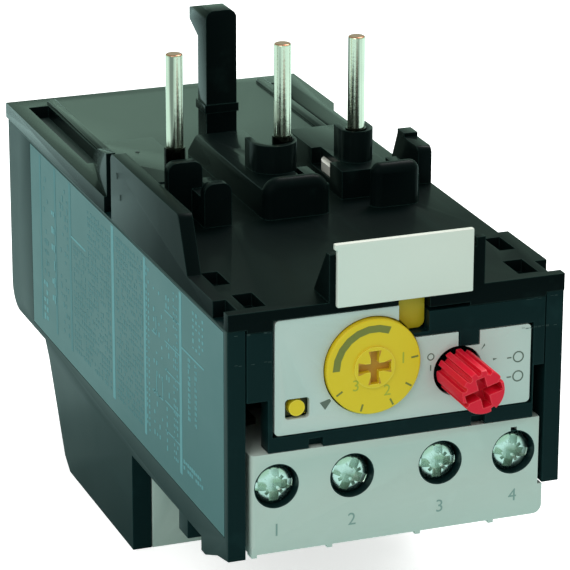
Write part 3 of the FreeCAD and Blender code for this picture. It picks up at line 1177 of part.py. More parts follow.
for item in doc.Objects:
    if {"Invalid", "Error"} & set(item.State):
        raise ValueError("%s did not compute: %s" % (item.Label, item.State))
sub_parts = [item for item in doc.Objects if item.TypeId in ("PartDesign::Body", "Part::Sweep")]
for sub_part in sub_parts:
    if sub_part.Shape.isNull() or not sub_part.Shape.isValid():
        raise ValueError("%s has no valid shape" % sub_part.Label)
for sub_part in sub_parts:
    sub_part.Shape.exportStep("parts/%s.step" % sub_part.Label)
    print(sub_part.Label, len(sub_part.Shape.Solids), round(sub_part.Shape.Volume, 1))
print(len(sub_parts), "sub-parts")
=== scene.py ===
"""Dressed model of a three-phase thermal overload relay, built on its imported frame."""

import logging
import math
from dataclasses import dataclass, field
from enum import Enum
from typing import Iterable, Sequence

import bmesh
import bpy
from mathutils import Matrix, Vector


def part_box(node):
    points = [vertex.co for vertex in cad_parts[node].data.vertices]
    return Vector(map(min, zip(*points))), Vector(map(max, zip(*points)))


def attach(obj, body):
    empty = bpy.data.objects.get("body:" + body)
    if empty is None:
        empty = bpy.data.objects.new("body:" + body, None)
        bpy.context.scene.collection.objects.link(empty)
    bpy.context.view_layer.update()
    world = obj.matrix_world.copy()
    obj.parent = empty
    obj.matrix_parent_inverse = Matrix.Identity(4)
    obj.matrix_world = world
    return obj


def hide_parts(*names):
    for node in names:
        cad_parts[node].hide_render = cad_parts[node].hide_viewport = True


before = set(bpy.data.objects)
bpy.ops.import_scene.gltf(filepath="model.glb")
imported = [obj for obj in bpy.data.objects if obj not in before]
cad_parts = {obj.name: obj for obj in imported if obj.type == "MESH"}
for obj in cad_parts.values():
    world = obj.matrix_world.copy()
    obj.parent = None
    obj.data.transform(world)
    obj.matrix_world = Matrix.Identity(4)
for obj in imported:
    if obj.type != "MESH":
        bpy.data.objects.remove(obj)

LOG = logging.getLogger("relay")
MM = 0.001
Colour = tuple[float, float, float]
Point2 = tuple[float, float]
Point3 = tuple[float, float, float]


class Axis(Enum):
    """A direction of the row frame, with the two axes that lie across it."""

    X = (0, 1, 2)
    Y = (1, 0, 2)
    Z = (2, 0, 1)

    def place(self, across: float, up: float, level: float) -> Vector:
        """Return the point at a level along this axis.

        Args:
            across: Value on the first axis that lies across this one.
            up: Value on the second axis that lies across this one.
            level: Value along this axis.

        Returns:
            The point in the row frame.
        """
        spot = [0.0, 0.0, 0.0]
        spot[self.value[0]] = level
        spot[self.value[1]] = across
        spot[self.value[2]] = up
        return Vector(spot)


@dataclass(frozen=True)
class Datum:
    """The relay's drawing datum: its front face and its deck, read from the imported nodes."""

    front: float
    deck: float

    @classmethod
    def from_frame(cls) -> "Datum":
        """Read the front face from the front frame and the deck from the lower housing's top."""
        deck_thickness = 2.25 * MM
        return cls(front=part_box("front_frame")[0][1], deck=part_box("lower_housing")[1][2] + deck_thickness)

    def at(self, x: float, y: float, z: float) -> Vector:
        """Turn millimetres from the datum into a point of the row frame.

        Args:
            x: Millimetres to the right of the middle.
            y: Millimetres behind the front face.
            z: Millimetres above the deck.

        Returns:
            The point in metres.
        """
        return Vector((x * MM, self.front + y * MM, self.deck + z * MM))


DATUM = Datum.from_frame()


# ---------------------------------------------------------------------------------------------
# Shader node groups that several finishes share
# ---------------------------------------------------------------------------------------------

class GroupBuilder:
    """Builds one shader node group with named sockets."""

    def __init__(self, name: str, inputs: dict[str, float], outputs: dict[str, str]) -> None:
        """Start a group.

        Args:
            name: The group's name.
            inputs: Name and default of each float input.
            outputs: Name and socket type of each output.
        """
        self.tree = bpy.data.node_groups.new(name, "ShaderNodeTree")
        for label, default in inputs.items():
            socket = self.tree.interface.new_socket(label, in_out="INPUT", socket_type="NodeSocketFloat")
            socket.default_value = default
        for label, kind in outputs.items():
            self.tree.interface.new_socket(label, in_out="OUTPUT", socket_type=kind)
        self.source = self.tree.nodes.new("NodeGroupInput")
        self.sink = self.tree.nodes.new("NodeGroupOutput")

    def node(self, kind: str, **settings: object) -> bpy.types.Node:
        """Add a node and set its properties."""
        made = self.tree.nodes.new(kind)
        for key, value in settings.items():
            setattr(made, key, value)
        return made

    def link(self, start: bpy.types.NodeSocket, end: bpy.types.NodeSocket) -> None:
        """Join two sockets."""
        self.tree.links.new(start, end)

    def math(self, operation: str, first: object, second: object) -> bpy.types.NodeSocket:
        """Add a Math node whose inputs are sockets or numbers, and return its output."""
        made = self.node("ShaderNodeMath", operation=operation)
        for index, value in enumerate((first, second)):
            if isinstance(value, bpy.types.NodeSocket):
                self.link(value, made.inputs[index])
            else:
                made.inputs[index].default_value = value
        return made.outputs[0]


def make_grain_group() -> bpy.types.NodeTree:
    """Build the spark-eroded grain of a mould: a fine height and a slow tone variation."""
    group = GroupBuilder("mould_grain", {"Grain Size": 0.3, "Cloud Size": 14.0},
                         {"Height": "NodeSocketFloat", "Cloud": "NodeSocketFloat"})
    coords = group.node("ShaderNodeTexCoord")
    fine = group.node("ShaderNodeTexNoise")
    fine.inputs["Detail"].default_value = 2.0
    cloud = group.node("ShaderNodeTexNoise")
    cloud.inputs["Detail"].default_value = 3.0
    group.link(group.math("DIVIDE", 1000.0, group.source.outputs["Grain Size"]), fine.inputs["Scale"])
    group.link(group.math("DIVIDE", 1000.0, group.source.outputs["Cloud Size"]), cloud.inputs["Scale"])
    for texture in (fine, cloud):
        group.link(coords.outputs["Object"], texture.inputs["Vector"])
    group.link(fine.outputs["Fac"], group.sink.inputs["Height"])
    group.link(cloud.outputs["Fac"], group.sink.inputs["Cloud"])
    return group.tree


def make_edge_group() -> bpy.types.NodeTree:
    """Build the mask of a worn, slightly shiny edge, broken up by noise."""
    group = GroupBuilder("worn_edge", {"Radius": 0.0003, "Break Up": 0.5}, {"Mask": "NodeSocketFloat"})
    bevel = group.node("ShaderNodeBevel", samples=4)
    group.link(group.source.outputs["Radius"], bevel.inputs["Radius"])
    geometry = group.node("ShaderNodeNewGeometry")
    dot = group.node("ShaderNodeVectorMath", operation="DOT_PRODUCT")
    group.link(bevel.outputs["Normal"], dot.inputs[0])
    group.link(geometry.outputs["Normal"], dot.inputs[1])
    edge = group.math("MULTIPLY", group.math("SUBTRACT", 1.0, dot.outputs["Value"]), 5.0)
    coords = group.node("ShaderNodeTexCoord")
    noise = group.node("ShaderNodeTexNoise")
    noise.inputs["Scale"].default_value = 900.0
    group.link(coords.outputs["Object"], noise.inputs["Vector"])
    broken = group.math("MULTIPLY", noise.outputs["Fac"], group.source.outputs["Break Up"])
    kept = group.math("SUBTRACT", edge, broken)
    clamped = group.node("ShaderNodeClamp")
    group.link(kept, clamped.inputs["Value"])
    group.link(clamped.outputs["Result"], group.sink.inputs["Mask"])
    return group.tree


def make_scratch_group() -> bpy.types.NodeTree:
    """Build the mask of fine scuffs that run in mixed directions."""
    group = GroupBuilder("fine_scuffs", {"Amount": 0.3}, {"Mask": "NodeSocketFloat"})
    coords = group.node("ShaderNodeTexCoord")
    total = None
    for turn, size in ((0.4, 260.0), (1.9, 180.0)):
        mapping = group.node("ShaderNodeMapping")
        mapping.inputs["Rotation"].default_value = (turn, turn * 0.7, turn * 1.3)
        mapping.inputs["Scale"].default_value = (size, size * 0.06, size)
        group.link(coords.outputs["Object"], mapping.inputs["Vector"])
        noise = group.node("ShaderNodeTexNoise")
        noise.inputs["Scale"].default_value = 1.0
        noise.inputs["Detail"].default_value = 4.0
        group.link(mapping.outputs["Vector"], noise.inputs["Vector"])
        sharp = group.math("SUBTRACT", noise.outputs["Fac"], 0.62)
        total = sharp if total is None else group.math("MAXIMUM", total, sharp)
    scaled = group.math("MULTIPLY", group.math("MULTIPLY", total, 9.0), group.source.outputs["Amount"])
    clamped = group.node("ShaderNodeClamp")
    group.link(scaled, clamped.inputs["Value"])
    group.link(clamped.outputs["Result"], group.sink.inputs["Mask"])
    return group.tree


def make_streak_group() -> bpy.types.NodeTree:
    """Build the mask of long streaks that run upwards, as on drawn wire and wiped mouldings."""
    group = GroupBuilder("drawn_streaks", {"Sharpness": 4.0, "Level": 0.5}, {"Mask": "NodeSocketFloat"})
    coords = group.node("ShaderNodeTexCoord")
    mapping = group.node("ShaderNodeMapping")
    mapping.inputs["Scale"].default_value = (1150.0, 1150.0, 22.0)
    noise = group.node("ShaderNodeTexNoise")
    noise.inputs["Scale"].default_value = 1.0
    noise.inputs["Detail"].default_value = 1.5
    group.link(coords.outputs["Object"], mapping.inputs["Vector"])
    group.link(mapping.outputs["Vector"], noise.inputs["Vector"])
    lifted = group.math("SUBTRACT", noise.outputs["Fac"], group.source.outputs["Level"])
    scaled = group.math("MULTIPLY", lifted, group.source.outputs["Sharpness"])
    clamped = group.node("ShaderNodeClamp")
    group.link(scaled, clamped.inputs["Value"])
    group.link(clamped.outputs["Result"], group.sink.inputs["Mask"])
    return group.tree


@dataclass
class SharedGroups:
    """The node groups that are built once and placed in each finish."""

    streaks: bpy.types.NodeTree = field(default_factory=make_streak_group)
    grain: bpy.types.NodeTree = field(default_factory=make_grain_group)
    edge: bpy.types.NodeTree = field(default_factory=make_edge_group)
    scuffs: bpy.types.NodeTree = field(default_factory=make_scratch_group)


GROUPS = SharedGroups()


class MaterialBuilder:
    """Builds one material round a Principled BSDF."""

    def __init__(self, name: str) -> None:
        """Start a material with an empty tree."""
        self.material = bpy.data.materials.new(name)
        self.material.use_nodes = True
        self.tree = self.material.node_tree
        self.tree.nodes.clear()
        self.output = self.tree.nodes.new("ShaderNodeOutputMaterial")
        self.shader = self.tree.nodes.new("ShaderNodeBsdfPrincipled")
        self.tree.links.new(self.shader.outputs["BSDF"], self.output.inputs["Surface"])

    def node(self, kind: str, **settings: object) -> bpy.types.Node:
        """Add a node and set its properties."""
        made = self.tree.nodes.new(kind)
        for key, value in settings.items():
            setattr(made, key, value)
        return made

    def link(self, start: bpy.types.NodeSocket, end: bpy.types.NodeSocket) -> None:
        """Join two sockets."""
        self.tree.links.new(start, end)

    def group(self, tree: bpy.types.NodeTree, **values: float) -> bpy.types.Node:
        """Place a shared group with its own values; underscores in names stand for spaces."""
        made = self.node("ShaderNodeGroup")
        made.node_tree = tree
        for key, value in values.items():
            made.inputs[key.replace("_", " ")].default_value = value
        return made

    def mix(self, mask: bpy.types.NodeSocket, low: object, high: object) -> bpy.types.NodeSocket:
        """Mix two colours by a mask; each is a colour or a socket."""
        made = self.node("ShaderNodeMix", data_type="RGBA")
        self.link(mask, made.inputs["Factor"])
        for index, value in ((6, low), (7, high)):
            if isinstance(value, bpy.types.NodeSocket):
                self.link(value, made.inputs[index])
            else:
                made.inputs[index].default_value = (*value, 1.0)
        return made.outputs[2]

    def spread(self, value: bpy.types.NodeSocket, low: float, high: float) -> bpy.types.NodeSocket:
        """Map a value from 0..1 to a range."""
        made = self.node("ShaderNodeMapRange")
        made.inputs["To Min"].default_value = low
        made.inputs["To Max"].default_value = high
        self.link(value, made.inputs["Value"])
        return made.outputs["Result"]

    def bump(self, height: bpy.types.NodeSocket, depth: float, strength: float = 1.0) -> None:
        """Feed a height to the shader's normal."""
        made = self.node("ShaderNodeBump")
        made.inputs["Distance"].default_value = depth
        made.inputs["Strength"].default_value = strength
        self.link(height, made.inputs["Height"])
        self.link(made.outputs["Normal"], self.shader.inputs["Normal"])


@dataclass(frozen=True)
class MouldedPlastic:
    """A moulded plastic: two close tones, a spark-eroded grain, pale worn edges and scuffs."""

    name: str
    colour: Colour
    tone: Colour
    edge: Colour
    roughness: float = 0.45
    grain_size: float = 0.35
    grain_depth: float = 0.012
    wear: float = 0.5
    scuffs: float = 0.25
    gloss: float = 0.5
    glance: float = 0.0
    glance_roughness: float = 0.2
    # Painted shade: the glancing shine is dimmed towards the front, to this share, between these two depths.
    dull_front: float = 1.0
    dull_until: float = 25.0
    bright_from: float = 76.0

    def build(self) -> bpy.types.Material:
        """Return the material."""
        made = MaterialBuilder(self.name)
        if self.glance:
            self._add_glance(made)
        grain = made.group(GROUPS.grain, Grain_Size=self.grain_size, Cloud_Size=9.0)
        edge = made.group(GROUPS.edge, Radius=0.25 * MM, Break_Up=1.0 - self.wear)
        scuffs = made.group(GROUPS.scuffs, Amount=self.scuffs)
        base = made.mix(grain.outputs["Cloud"], self.colour, self.tone)
        scuffed = made.mix(scuffs.outputs["Mask"], base, self.edge)
        worn = made.mix(edge.outputs["Mask"], scuffed, self.edge)
        made.link(worn, made.shader.inputs["Base Color"])
        made.link(made.spread(grain.outputs["Cloud"], self.roughness - 0.07, self.roughness + 0.07),
                  made.shader.inputs["Roughness"])
        made.shader.inputs["Specular IOR Level"].default_value = self.gloss
        made.bump(grain.outputs["Height"], self.grain_depth * MM)
        return made.material

    def _add_glance(self, made: MaterialBuilder) -> None:
        """Add the skin shine of a moulding, which shows only where it is seen at a glancing angle; towards the
        front it is dimmed as painted shade.

        Args:
            made: The material being built.
        """
        facing = made.node("ShaderNodeLayerWeight")
        facing.inputs["Blend"].default_value = 0.5
        weight = made.node("ShaderNodeMapRange")
        weight.inputs["From Min"].default_value = 0.25
        weight.inputs["From Max"].default_value = 0.62
        weight.inputs["To Max"].default_value = self.glance
        made.link(facing.outputs["Facing"], weight.inputs["Value"])
        coords = made.node("ShaderNodeTexCoord")
        split = made.node("ShaderNodeSeparateXYZ")
        made.link(coords.outputs["Object"], split.inputs["Vector"])
        # Painted shade: the shine is scaled down towards the front of the part, where shade falls on the deck.
        along = made.node("ShaderNodeMapRange")
        along.inputs["From Min"].default_value = DATUM.front + self.dull_until * MM
        along.inputs["From Max"].default_value = DATUM.front + self.bright_from * MM
        along.inputs["To Min"].default_value = self.dull_front
        made.link(split.outputs["Y"], along.inputs["Value"])
        shine = made.node("ShaderNodeMath", operation="MULTIPLY")
        made.link(weight.outputs["Result"], shine.inputs[0])
        made.link(along.outputs["Result"], shine.inputs[1])
        made.link(shine.outputs[0], made.shader.inputs["Coat Weight"])
        made.shader.inputs["Coat Roughness"].default_value = self.glance_roughness


@dataclass(frozen=True)
class PlatedMetal:
    """A plated or bare metal with fine scuffs and a tarnish that varies slowly."""

    name: str
    colour: Colour
    tarnish: Colour
    roughness: float = 0.25
    scuffs: float = 0.5

    def build(self) -> bpy.types.Material:
        """Return the material."""
        made = MaterialBuilder(self.name)
        grain = made.group(GROUPS.grain, Grain_Size=0.12, Cloud_Size=2.5)
        scuffs = made.group(GROUPS.scuffs, Amount=self.scuffs)
        base = made.mix(grain.outputs["Cloud"], self.colour, self.tarnish)
        made.link(base, made.shader.inputs["Base Color"])
        made.shader.inputs["Metallic"].default_value = 1.0
        total = made.node("ShaderNodeMath", operation="MULTIPLY_ADD")
        total.inputs[1].default_value = 0.3
        total.inputs[2].default_value = self.roughness
        made.link(scuffs.outputs["Mask"], total.inputs[0])
        made.link(total.outputs[0], made.shader.inputs["Roughness"])
        made.bump(grain.outputs["Height"], 0.004 * MM)
        return made.material


@dataclass(frozen=True)
class TinnedPin:
    """A tinned copper pin whose cut end shows the copper and whose root is darkened as painted shade."""

    name: str
    tin: Colour
    copper: Colour
    cut_level: float
    foot_level: float

    def build(self) -> bpy.types.Material:
        """Return the material."""
        made = MaterialBuilder(self.name)
        grain = made.group(GROUPS.grain, Grain_Size=0.5, Cloud_Size=3.0)
        scuffs = made.group(GROUPS.scuffs, Amount=0.6)
        coords = made.node("ShaderNodeTexCoord")
        split = made.node("ShaderNodeSeparateXYZ")
        made.link(coords.outputs["Object"], split.inputs["Vector"])
        above = made.node("ShaderNodeMath", operation="GREATER_THAN")
        above.inputs[1].default_value = self.cut_level
        made.link(split.outputs["Z"], above.inputs[0])
        streaks = made.group(GROUPS.streaks, Sharpness=7.0, Level=0.53)
        dull = tuple(0.80 * value for value in self.tin)
        dark = tuple(0.26 * value for value in self.tin)
        # Painted shade: below the root's top the pin is made nearly black, for the shade round its root.
        root_painted_shade = tuple(0.035 * value for value in self.tin)
        clean = made.mix(grain.outputs["Cloud"], self.tin, dull)
        tin = made.mix(streaks.outputs["Mask"], clean, dark)
        standing = made.node("ShaderNodeMath", operation="GREATER_THAN")
        standing.inputs[1].default_value = self.foot_level
        made.link(split.outputs["Z"], standing.inputs[0])
        shaft = made.mix(standing.outputs[0], root_painted_shade, tin)
        made.link(made.mix(above.outputs[0], shaft, self.copper), made.shader.inputs["Base Color"])
        made.shader.inputs["Metallic"].default_value = 1.0
        made.link(made.spread(scuffs.outputs["Mask"], 0.18, 0.42), made.shader.inputs["Roughness"])
        made.bump(grain.outputs["Height"], 0.01 * MM)
        return made.material


@dataclass(frozen=True)
class PrintedInk:
    """Pad-printed ink, slightly uneven; also flat tones of painted shade."""

    name: str
    colour: Colour
    thin: Colour
    roughness: float = 0.6

    def build(self) -> bpy.types.Material:
        """Return the material."""
        made = MaterialBuilder(self.name)
        grain = made.group(GROUPS.grain, Grain_Size=0.15, Cloud_Size=1.2)
        made.link(made.mix(grain.outputs["Cloud"], self.colour, self.thin), made.shader.inputs["Base Color"])
        made.shader.inputs["Roughness"].default_value = self.roughness
        made.bump(grain.outputs["Height"], 0.003 * MM)
        return made.material


# ---------------------------------------------------------------------------------------------
# Finishes
# ---------------------------------------------------------------------------------------------

@dataclass(frozen=True)
class Finishes:
    """Every finish of the relay, each built on its own."""

    housing: MouldedPlastic = MouldedPlastic("housing_black", (0.0022, 0.0115, 0.0125), (0.0030, 0.0140, 0.0150),
                                             (0.018, 0.052, 0.052), roughness=0.5, wear=0.35, gloss=0.06,
                                             grain_depth=0.006, scuffs=0.12, glance=0.30, glance_roughness=0.3)
    # The deck's glancing shine fades almost away towards the front as painted shade.
    deck: MouldedPlastic = MouldedPlastic("deck_grain", (0.0010, 0.0030, 0.0032), (0.0014, 0.0040, 0.0042),
                                          (0.016, 0.036, 0.032), roughness=0.5, grain_size=0.22,
                                          grain_depth=0.003, wear=0.35, gloss=0.03, scuffs=0.12, glance=0.66,
                                          glance_roughness=0.14, dull_front=0.05)
    label: MouldedPlastic = MouldedPlastic("label_film", (0.030, 0.100, 0.108), (0.038, 0.114, 0.121),
                                           (0.10, 0.19, 0.19), roughness=0.42, grain_size=0.5,
                                           grain_depth=0.004, scuffs=0.1)
    block: MouldedPlastic = MouldedPlastic("pale_grey", (0.445, 0.500, 0.455), (0.475, 0.530, 0.485),
                                           (0.60, 0.66, 0.62), roughness=0.5, wear=0.35, scuffs=0.1)
    plate: MouldedPlastic = MouldedPlastic("plate_grey", (0.475, 0.515, 0.480), (0.515, 0.560, 0.525),
                                           (0.66, 0.70, 0.67), roughness=0.45, wear=0.35, scuffs=0.05)
    tag: MouldedPlastic = MouldedPlastic("white_tag", (0.66, 0.645, 0.580), (0.69, 0.675, 0.610),
                                         (0.80, 0.80, 0.76), roughness=0.4, scuffs=0.05)
    dial: MouldedPlastic = MouldedPlastic("dial_yellow", (0.70, 0.47, 0.010), (0.75, 0.52, 0.014),
                                          (0.84, 0.66, 0.08), roughness=0.4, scuffs=0.06, gloss=0.3)
    # Painted shade: a darker copy of the dial's yellow, for the shade that the flag stands in.
    flag: MouldedPlastic = MouldedPlastic("flag_yellow", (0.47, 0.32, 0.008), (0.53, 0.36, 0.010),
                                          (0.68, 0.50, 0.05), roughness=0.45, scuffs=0.05, gloss=0.3)
    knob: MouldedPlastic = MouldedPlastic("knob_red", (0.68, 0.006, 0.026), (0.76, 0.009, 0.034),
                                          (0.88, 0.09, 0.11), roughness=0.42, scuffs=0.06, gloss=0.2)
    zinc: PlatedMetal = PlatedMetal("zinc_plate", (0.80, 0.86, 0.81), (0.54, 0.60, 0.56), roughness=0.26)
    copper: PlatedMetal = PlatedMetal("bare_copper", (0.66, 0.36, 0.20), (0.48, 0.24, 0.13), roughness=0.3)
    brass: PlatedMetal = PlatedMetal("dark_brass", (0.050, 0.042, 0.026), (0.030, 0.026, 0.018), roughness=0.5)
    bimetal: PlatedMetal = PlatedMetal("bimetal_sheet", (0.42, 0.41, 0.38), (0.32, 0.31, 0.28),
                                       roughness=0.35)
    wire: PlatedMetal = PlatedMetal("heater_wire", (0.38, 0.36, 0.35), (0.26, 0.24, 0.23), roughness=0.4)
    pale_ink: PrintedInk = PrintedInk("pale_ink", (0.140, 0.320, 0.350), (0.105, 0.255, 0.285))
    soft_ink: PrintedInk = PrintedInk("soft_ink", (0.078, 0.195, 0.215), (0.060, 0.160, 0.178))
    seam_ink: PrintedInk = PrintedInk("seam_tone", (0.018, 0.040, 0.040), (0.007, 0.018, 0.018))
    grey_ink: PrintedInk = PrintedInk("grey_ink", (0.115, 0.135, 0.105), (0.085, 0.105, 0.085))
    dial_ink: PrintedInk = PrintedInk("dial_ink", (0.155, 0.155, 0.022), (0.20, 0.195, 0.022))
    faint_ink: PrintedInk = PrintedInk("faint_ink", (0.36, 0.35, 0.020), (0.42, 0.41, 0.022))
    mark_ink: PrintedInk = PrintedInk("mark_ink", (0.185, 0.270, 0.245), (0.225, 0.320, 0.290))
    # Orange tone of painted shade in the dial's cross recess.
    recess: PrintedInk = PrintedInk("recess_tone", (0.55, 0.24, 0.008), (0.44, 0.19, 0.008))
    shadow: PrintedInk = PrintedInk("shadow_tone", (0.060, 0.050, 0.010), (0.036, 0.032, 0.008))
    # Near black, for the wall's gate marks and for painted shade in the groove and the pit.
    pitch: PrintedInk = PrintedInk("pit_tone", (0.004, 0.010, 0.010), (0.008, 0.018, 0.018))


class Palette:
    """Builds each finish once and hands out its material."""

    def __init__(self, finishes: Finishes) -> None:
        """Keep the finishes to build."""
        self.finishes = finishes
        self.made: dict[str, bpy.types.Material] = {}

    def __getitem__(self, name: str) -> bpy.types.Material:
        """Return the material of a finish, building it at first use."""
        if name not in self.made:
            self.made[name] = getattr(self.finishes, name).build()
        return self.made[name]


PALETTE = Palette(Finishes())


# ---------------------------------------------------------------------------------------------
# Mesh helpers
# ---------------------------------------------------------------------------------------------

class MeshBuilder:
    """Collects polygons into one mesh object with one or more materials."""

    def __init__(self, name: str) -> None:
        """Start an empty mesh.

        Args:
            name: The finished object's name.
        """
        self.name = name
        self.mesh = bmesh.new()

    def face(self, points: Sequence[Vector], slot: int = 0) -> None:
        """Add one polygon.

        Args:
            points: Its corners, counter-clockwise from outside.
            slot: Index of its material.
        """
        made = self.mesh.faces.new([self.mesh.verts.new(point) for point in points])
        made.material_index = slot

    def prism(self, points: Sequence[Vector], depth: Vector, slot: int = 0) -> None:
        """Add a closed solid made by moving an outline along a vector.

        Args:
            points: The outline at the near end.
            depth: How far and which way the far end lies.
            slot: Index of its material.
        """
        self.prism_between(points, [point + depth for point in points], slot)

    def prism_between(self, near: Sequence[Vector], far: Sequence[Vector], slot: int = 0) -> None:
        """Add a closed solid between two outlines of equal length.

        Args:
            near: The outline at one end.
            far: The outline at the other end.
            slot: Index of its material.
        """
        first = [self.mesh.verts.new(point) for point in near]
        last = [self.mesh.verts.new(point) for point in far]
        count = len(first)
        faces = [self.mesh.faces.new(first[::-1]), self.mesh.faces.new(last)]
        for index in range(count):
            after = (index + 1) % count
            faces.append(self.mesh.faces.new((first[index], first[after], last[after], last[index])))
        for made in faces:
            made.material_index = slot

    def lathe(self, centre: Vector, profile: Sequence[Point2], sides: int = 48, slot: int = 0) -> None:
        """Add a solid turned about an axis parallel to Y.

        Args:
            centre: A point on the axis; profile distances are measured from it.
            profile: Pairs of radius and distance along Y, from the front centre to the rear centre.
            sides: Facets round the axis.
            slot: Index of its material.
        """
        rings: list[list[bmesh.types.BMVert]] = []
        for radius, along in profile:
            if radius == 0.0:
                rings.append([self.mesh.verts.new(centre + Vector((0.0, along, 0.0)))])
                continue
            ring = []
            for index in range(sides):
                angle = 2.0 * math.pi * index / sides
                ring.append(self.mesh.verts.new(centre + Vector((radius * math.cos(angle), along,
                                                                 radius * math.sin(angle)))))
            rings.append(ring)
        for first, second in zip(rings, rings[1:]):
            for index in range(sides):
                after = (index + 1) % sides
                corners = [first[index % len(first)], first[after % len(first)],
                           second[after % len(second)], second[index % len(second)]]
                unique = list(dict.fromkeys(corners))
                if len(unique) > 2:
                    self.mesh.faces.new(unique).material_index = slot

    def tube(self, centre: Vector, outer: float, inner: float, length: float, sides: int = 48) -> None:
        """Add an open sleeve about an axis parallel to Y.

        Args:
            centre: The middle of its front end.
            outer: Its outer radius.
            inner: Its inner radius.
            length: Its length.
            sides: Facets round the axis.
        """
        rings = []
        for radius, along in ((outer, 0.0), (outer, length), (inner, length), (inner, 0.0)):
            rings.append([self.mesh.verts.new(centre + Vector((radius * math.cos(2.0 * math.pi * index / sides),
                                                               along,
                                                               radius * math.sin(2.0 * math.pi * index / sides))))
                          for index in range(sides)])
        for first, second in zip(rings, rings[1:] + rings[:1]):
            for index in range(sides):
                after = (index + 1) % sides
                self.mesh.faces.new((first[index], first[after], second[after], second[index]))

    def finish(self, materials: Sequence[bpy.types.Material], smooth_angle: float = 0.0) -> bpy.types.Object:
        """Turn the collected polygons into an object in the scene.

        Args:
            materials: The materials, by slot.
            smooth_angle: Edges flatter than this many degrees are shaded smooth; 0 shades all flat.

        Returns:
            The object.
        """
        bmesh.ops.recalc_face_normals(self.mesh, faces=self.mesh.faces)
        data = bpy.data.meshes.new(self.name)
        if smooth_angle:
            limit = math.radians(smooth_angle)
            for item in self.mesh.faces:
                item.smooth = True
            for edge in self.mesh.edges:
                edge.smooth = edge.is_manifold and edge.calc_face_angle() < limit
        self.mesh.to_mesh(data)
        self.mesh.free()
        for material in materials:
            data.materials.append(material)
        made = bpy.data.objects.new(self.name, data)
        bpy.context.scene.collection.objects.link(made)
        return made


def arc_points(centre: Point2, radius: float, start: float, end: float, steps: int) -> list[Point2]:
    """Return points along an arc.

    Args:
        centre: The arc's centre.
        radius: Its radius.
        start: First angle in degrees.
        end: Last angle in degrees.
        steps: Number of pieces.

    Returns:
        The points from start to end.
    """
    angles = [math.radians(start + (end - start) * index / steps) for index in range(steps + 1)]
    return [(centre[0] + radius * math.cos(angle), centre[1] + radius * math.sin(angle)) for angle in angles]


class NodeRecipe:
    """Builds one geometry node tree with named inputs and runs it on a mesh."""

    def __init__(self, name: str, inputs: dict[str, str]) -> None:
        """Start a tree.

        Args:
            name: The tree's name.
            inputs: Name and socket type of each input.
        """
        self.tree = bpy.data.node_groups.new(name, "GeometryNodeTree")
        self.tree.interface.new_socket("Geometry", in_out="INPUT", socket_type="NodeSocketGeometry")
        self.keys: dict[str, str] = {}
        for label, kind in inputs.items():
            socket = self.tree.interface.new_socket(label, in_out="INPUT", socket_type=kind)
            self.keys[label] = socket.identifier
        self.tree.interface.new_socket("Geometry", in_out="OUTPUT", socket_type="NodeSocketGeometry")
        self.source = self.node("NodeGroupInput")
        self.sink = self.node("NodeGroupOutput")

    def node(self, kind: str, **settings: object) -> bpy.types.Node:
        """Add a node and set its properties."""
        made = self.tree.nodes.new(kind)
        for key, value in settings.items():
            setattr(made, key, value)
        return made

    def feed(self, label: str, end: bpy.types.NodeSocket) -> None:
        """Join a named input of the tree to a socket."""
        self.tree.links.new(self.source.outputs[label], end)

    def link(self, start: bpy.types.NodeSocket, end: bpy.types.NodeSocket) -> None:
        """Join two sockets."""
        self.tree.links.new(start, end)

    def close(self, geometry: bpy.types.NodeSocket) -> None:
        """End the tree in Realize Instances and Set Material."""
        realise = self.node("GeometryNodeRealizeInstances")
        paint = self.node("GeometryNodeSetMaterial")
        self.link(geometry, realise.inputs["Geometry"])
        self.link(realise.outputs["Geometry"], paint.inputs["Geometry"])
        self.feed("Finish", paint.inputs["Material"])
        self.link(paint.outputs["Geometry"], self.sink.inputs["Geometry"])

    def run(self, start: bpy.types.Mesh, values: dict[str, object]) -> bpy.types.Mesh:
        """Evaluate the tree and return a plain mesh.

        Args:
            start: The mesh that goes in; it is used up.
            values: Value of each named input.

        Returns:
            The mesh that comes out.
        """
        holder = bpy.data.objects.new(self.tree.name, start)
        bpy.context.scene.collection.objects.link(holder)
        modifier = holder.modifiers.new(self.tree.name, "NODES")
        modifier.node_group = self.tree
        for label, value in values.items():
            modifier[self.keys[label]] = value
        depsgraph = bpy.context.evaluated_depsgraph_get()
        mesh = bpy.data.meshes.new_from_object(holder.evaluated_get(depsgraph), depsgraph=depsgraph)
        holder.modifiers.clear()
        bpy.data.objects.remove(holder)
        bpy.data.meshes.remove(start)
        return mesh


